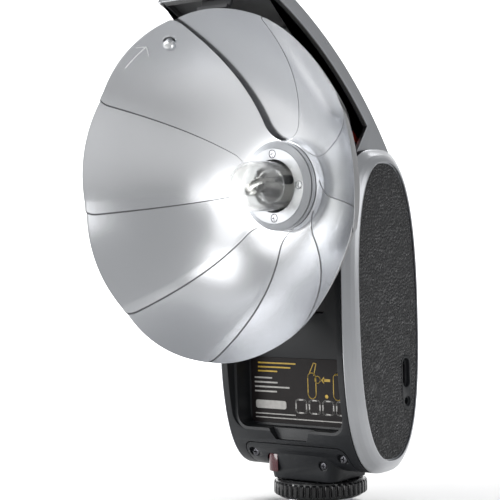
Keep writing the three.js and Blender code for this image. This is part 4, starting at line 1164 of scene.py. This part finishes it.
def make_cover():
    """The cover's silver frame: a back plate, side walls with their hinge arms, a tip and a base."""
    inner = COVER_HALF - COVER_WALL
    span = (-inner - 0.5, inner + 0.5)
    cover = cover_band("cover", 0.4, COVER_LENGTH - 0.4, 1.0, 2.2, span)
    for side in (1, -1):
        join(cover, prism("wall", "x", cover_side_outline(), *side_span(side, inner, COVER_HALF)))
    join(cover, cover_band("tip", COVER_LENGTH - 1.8, COVER_LENGTH - 0.01, 0.01, COVER_DEPTH - 0.26, span, 2))
    join(cover, cover_band("base", 0.01, 2.2, 0.01, 7.6, span, 2))
    cut(cover, rod("pin_room", "x", HINGE_BORE, -FAR, FAR, PIVOT[1:]))
    cover.name = "cover_shell"
    return settle(soften(cover, 0.3, 3, 30), "silver", "head", "silver_frame", "cover_frame", angle=32)


def make_cover_liner():
    """The dark tray inside the cover, with its lips and cross ribs, and the latch hook at the tip."""
    half, end = COVER_HALF - COVER_WALL - 0.06, COVER_LENGTH
    span = (-half, half)
    tray = cover_band("cover_inside", 2.3, end - 1.9, 2.3, 3.6, span)
    for side in (1, -1):
        lip = side_span(side, half - 0.9, COVER_HALF - 0.5)
        join(tray, cover_band("lip", 17.2, end - 0.8, 3, COVER_DEPTH, lip))
    join(tray, cover_band("tip_lip", end - 2.6, end - 0.6, 3, COVER_DEPTH, span, 2))
    for along in (24, 46, 68):
        join(tray, cover_band("rib", along, along + 0.8, 3, 4.2, span, 2))
    settle(soften(tray, 0.18, 2), "liner", "head", "charcoal_shell", "cover_liner")
    span, reach = (-7, 7), COVER_DEPTH + 4
    latch = cover_band("latch", end - 5.2, end - 4, 3.4, reach, span, 2)
    join(latch, cover_band("hook", end - 5.2, end - 2.6, reach - 1.4, reach, span, 2))
    latch.name = "latch_hook"
    settle(soften(latch, 0.25, 3), "liner", "head", "charcoal_shell", "cover_latch")


def make_cover_skin():
    """The pebbled strip let into the cover's back."""
    rows, columns, depth = 300, 150, 0.8
    half, start, end = COVER_HALF - COVER_WALL - GAP, 2.5, COVER_LENGTH - 2.1
    along, across = np.meshgrid(np.linspace(start, end, rows), np.linspace(-half, half, columns), indexing="ij")
    roll = edge_roll(np.minimum(half - np.abs(across), np.minimum(along - start, end - along)))
    height = grain_height(across, along, 31) * roll - 0.35 * (1 - roll)
    front, back = (np.column_stack([across.ravel(), *(part.ravel() for part in cover_point(along, inset))])
                   for inset in (0.5 - height, depth))
    skin = closed_panel(front, back, rows, columns, True)
    skin.name = "cover_leather"
    return settle(skin, "leather", "head", "leatherette", "cover_skin", angle=75)


def make_hinge():
    """The hinge drum with its slot, and the release tab on a stem."""
    radius, half = 10.9, 22.9
    stem_low, stem_high = (18.4, -2.4, 127.9), (20.3, 0.4, 139.2)
    tab_low, tab_high = (17.2, -3.6, 138.2), (21.5, 2.4, 142.4)
    corners = [(HINGE_BORE, -half), (radius, -half), (radius, half), (HINGE_BORE, half)]
    drum = turned("hinge_drum", fillet(corners, [0.2, 0.7, 0.7, 0.2]), centre=PIVOT[1:], axis="x", count=96)
    slot_low = (stem_low[0] - 1.8, stem_low[1] - GAP, stem_low[2] - GAP)
    cut(drum, block("release_slot", slot_low, (stem_high[0] + GAP, stem_high[1] + GAP, 140)))
    settle(clean(drum), "liner", "head", "charcoal_shell", "hinge_barrel")
    tab = prism("release_tab", "x", rounded(tab_low[1:], tab_high[1:], 0.8, 5), tab_low[0], tab_high[0])
    face = tab_low[1] + GAP
    for step in range(3):
        z = tab_low[2] + 1.1 + step
        cut(tab, block("grip", (16.0, face - 1.1, z - 0.2), (24.0, face, z + 0.2)))
    join(tab, block("release_stem", stem_low, stem_high))
    settle(soften(tab, 0.25, 3), "red", "head_release", "red_plastic", "head_release")


# ---- hub and bulb
def make_hub():
    """The spool that carries the leaves, the clamp ring with its screw holes, and the sleeve between them."""
    bore, neck, flange = 10.1, ROOT_RADIUS - 0.3, 18
    spool = [(0, -12.3), (flange, -12.3), (flange, -14.2), (neck, -14.2)]
    spool += [(neck, -21.4), (bore, -21.4), (bore, -14.8), (0, -14.8)]
    spool = turned("hub_drum", fillet(spool, [0, 0.3, 0.3, 0.2, 0.2, 0.3, 0.3, 0], 4))
    settle(spool, "hub", "head", "hub_metal", "hub_spool")
    inner, outer, rear, face = 9.9, 16.5, -21.7, -23.7
    clamp = [(inner, rear), (outer, rear), (outer, -22.0), (14.35, -23.3), (14.1, face), (inner, face)]
    ring = turned("clamp", fillet(clamp, [0.1, 0.15, 0.25, 0.1, 0.2, 0.25]))
    for place in hub_screw_places():
        cut(ring, rod("screw_hole", "y", HUB_SCREW_RADIUS + 0.22, -FAR, -22.9, place, 40))
        cut(ring, rod("screw_bore", "y", HUB_SCREW_RADIUS + 0.05, -FAR, FAR, place, 40))
    ring.name = "clamp_face"
    settle(clean(ring), "hub", "head", "hub_metal", "clamp_ring", angle=28)
    collar = [(ROOT_RADIUS, -19.6), (16.9, -19.6), (16.9, -21.3), (ROOT_RADIUS, -21.3)]
    collar = turned("collar", fillet(collar, [0, 0.2, 0.3, 0], 4))
    settle(collar, "hub", "head", "hub_metal", "clamp_collar")


BULB = {"root": -18.0, "outer": 9.3, "inner": 8.5, "dome_y": -35.8}
TUBE_HALF, TUBE_LEAN = 4.0, math.radians(35)


def make_bulb():
    """The bulb's insulating base and its glass dome."""
    root, outer, inner, centre_y = BULB["root"], BULB["outer"], BULB["inner"], BULB["dome_y"]
    base = [(0, -15.1), (9.4, -15.1), (9.4, -17.8), (6.6, -17.8), (6.6, root - 0.1), (0, root - 0.1)]
    base = turned("base", fillet(base, [0, 0.3, 0.4, 0.2, 0.1, 0], 4))
    settle(base, "ceramic", "head", "ceramic", "bulb_base")
    skin = dome(outer, centre_y, centre_y - outer, 20)[::-1]
    hollow = dome(inner, centre_y, centre_y - inner, 20)
    glass = turned("glass", [*skin, (outer, root - 0.2), (inner, root - 0.2), *hollow])
    settle(glass, "glass", "head", "bulb_glass", "bulb_glass", angle=60)


def make_flash_tube():
    """The bent flash tube: two legs and a half circle between them, with a cap and a lead in each leg."""
    half, root, bend = TUBE_HALF, BULB["root"] - 0.4, -33.0
    path = [(-half, y) for y in np.linspace(root, bend, 10)]
    arc = np.linspace(-math.pi / 2, math.pi / 2, 22)[1:-1]
    path += [(half * math.sin(a), bend - half * math.cos(a)) for a in arc]
    path += [(half, y) for y in np.linspace(bend, root, 10)]
    points = [(u * math.cos(TUBE_LEAN), y, HUB_Z + u * math.sin(TUBE_LEAN)) for u, y in path]
    settle(tube("tube", points, 1.3, 24), "quartz", "head", "tube_glass", "flash_tube", angle=60)
    start, end = BULB["root"], -23.0
    parts = []
    for side in (1, -1):
        centre = (side * half * math.cos(TUBE_LEAN), HUB_Z + side * half * math.sin(TUBE_LEAN))
        cap = [(0, start), (1.75, start), (1.75, end + 0.4), (1.5, end), (0, end)]
        parts.append(turned("cap", cap, centre=centre, count=28))
        lead = [(0, end), (0.45, end), (0.45, -27.5), (0, -28.2)]
        parts.append(turned("lead", lead, centre=centre, count=16))
    settle(merge("electrode_caps", *parts), "dark_steel", "head", "steel")


def make_trigger_wires():
    """Two posts that bend in over the tube, and the wire loop round it."""
    parts, reach, tip_y = [], 6.4, -30.5
    for degrees in (110, 290):
        x, z = reach * math.cos(math.radians(degrees)), reach * math.sin(math.radians(degrees))
        path = [(x, y, HUB_Z + z) for y in np.linspace(BULB["root"], tip_y, 10)]
        for t in (0.15, 0.3, 0.45, 0.6):
            path.append((x * (1 - t), tip_y - 1.2 * math.sin(math.pi * t), HUB_Z + z * (1 - t)))
        parts.append(tube("post", path, 0.32, 10))
    loop = hub_points(reach - 0.2, -25.5, np.linspace(0, 360, 49))
    parts.append(tube("trigger_ring", loop, 0.22, 8))
    settle(merge("trigger_wires", *parts), "steel", "head", "steel")


# ---- build
def make_inside():
    """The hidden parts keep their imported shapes."""
    looks = {"battery_pack": "wrap", "flash_capacitor": "gloss", "main_board": "board"}
    looks.update(trigger_transformer="contact", hinge_pin_left="steel", hinge_pin_right="steel")
    for node, look in looks.items():
        repaint(node, look)


def make_object():
    for label, side in (("left", -1), ("right", 1)):
        make_side_frame(label, side)
        make_leather(label, side)
    for make in (make_ports, housing_front, housing_rear, make_base, make_screws, make_label, make_foot,
                 make_lock_ring, make_dial, make_rear_controls, make_cover, make_cover_liner, make_cover_skin,
                 make_hinge, make_hub, make_bulb, make_flash_tube, make_trigger_wires):
        make()
    for number in range(1, LEAVES + 1):
        make_leaf(number)
    make_leaf_knob()
    make_leaf_arrow()
    make_inside()


# ---- camera, lights and floor
CAMERA_PLACE = Vector((0.3628, -0.4800, 0.1114))
CAMERA_YAW, CAMERA_PITCH, CAMERA_ROLL = (math.radians(degrees) for degrees in (39.41, -1.23, -1.8))
SENSOR_MM, LENS_MM = 36, 112.27


def make_camera():
    camera = bpy.data.objects.new("camera", bpy.data.cameras.new("camera"))
    bpy.context.scene.collection.objects.link(camera)
    camera.data.sensor_width = SENSOR_MM
    camera.data.lens = LENS_MM
    camera.data.clip_start = 0.02
    turns = ((CAMERA_YAW, "Z"), (math.pi / 2 + CAMERA_PITCH, "X"), (CAMERA_ROLL, "Z"))
    yaw, pitch, roll = (Matrix.Rotation(angle, 4, axis) for angle, axis in turns)
    camera.matrix_world = Matrix.Translation(CAMERA_PLACE) @ yaw @ pitch @ roll
    bpy.context.scene.camera = camera


def area_light(name, place, target, size, power):
    light = bpy.data.lights.new(name, "AREA")
    light.shape = "RECTANGLE"
    light.size, light.size_y = size
    light.energy = power
    obj = bpy.data.objects.new(name, light)
    bpy.context.scene.collection.objects.link(obj)
    aim = (Vector(target) - Vector(place)).to_track_quat("-Z", "Y").to_matrix().to_4x4()
    obj.matrix_world = Matrix.Translation(Vector(place)) @ aim


SWEEP_START, SWEEP_RADIUS, STAGE_HALF, STAGE_HEIGHT = 1.2, 0.9, 2.4, 2.4      # in metres
FLOOR_COLOR = (0.62, 0.62, 0.62)


def make_stage():
    """A pale floor that sweeps up behind the object."""
    floor_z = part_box("contact_pin")[0][2]
    material = bpy.data.materials.new("floor")
    material.use_nodes = True
    shader = material.node_tree.nodes["Principled BSDF"]
    shader.inputs["Base Color"].default_value = (*FLOOR_COLOR, 1)
    shader.inputs["Roughness"].default_value = 0.8
    profile = [(y, 0.0) for y in np.linspace(-2.0, SWEEP_START, 9)]
    for a in np.linspace(0, math.pi / 2, 16)[1:]:
        profile.append((SWEEP_START + SWEEP_RADIUS * math.sin(a), SWEEP_RADIUS * (1 - math.cos(a))))
    profile.append((SWEEP_START + SWEEP_RADIUS, STAGE_HEIGHT))
    places = np.linspace(-STAGE_HALF, STAGE_HALF, 9)
    rows = [np.array([(x, y, floor_z + z) for y, z in profile]) / MM for x in places]
    floor = new_object("floor", np.vstack(rows), ring_faces(len(rows), len(profile), closed=False))
    floor.data.transform(Matrix.Rotation(CAMERA_YAW, 4, "Z"))
    floor.data.materials.append(material)
    shade(floor, 60)


# Each light's turn from straight in front towards the left, its height angle, its size in metres and its watts.
LIGHTS = {
    "low_left": (37, 2, 0.5, 6.4),
    "left": (37, 20, 0.5, 0.8),
    "low_front": (0, 2, 0.5, 1.8),
    "low_right": (-20, 2, 0.5, 0.8),
    "front_left": (18, 10, 0.5, 0.7),
    "front": (0, 22, 0.5, 0.7),
    "high_front": (0, 50, 0.6, 1.9),
    "right": (-90, 15, 0.6, 1.5),
    "top": (0, 88, 0.8, 0.7),
}
LIGHT_DISTANCE, LIGHT_TARGET = 1.3, Vector((0, -0.02, 0.11))
# The stage's lights: place, target, size and watts.
STAGE_LIGHTS = {
    "backdrop": ((-0.25, 0.30, 1.0), (-1.15, 1.40, 0.35), (1.0, 0.4), 52),
    "ground": ((-0.35, 0.55, 0.9), (-0.55, 0.78, 0.0), (0.8, 0.5), 16),
}


def make_lights():
    world = bpy.data.worlds.new("studio")
    bpy.context.scene.world = world
    world.use_nodes = True
    background = world.node_tree.nodes["Background"]
    background.inputs["Color"].default_value = (0.97, 0.985, 1.0, 1)
    background.inputs["Strength"].default_value = 0.38
    for name, (turn, height, size, power) in LIGHTS.items():
        turn, height = math.radians(turn), math.radians(height)
        level = math.cos(height)
        way = Vector((-math.sin(turn) * level, -math.cos(turn) * level, math.sin(height)))
        area_light(name, LIGHT_TARGET + way * LIGHT_DISTANCE, LIGHT_TARGET, (size, size), power)
    for name, values in STAGE_LIGHTS.items():
        area_light(name, *values)


bpy.context.scene.view_settings.view_transform = "Standard"
make_camera()
make_stage()
make_lights()
make_object()
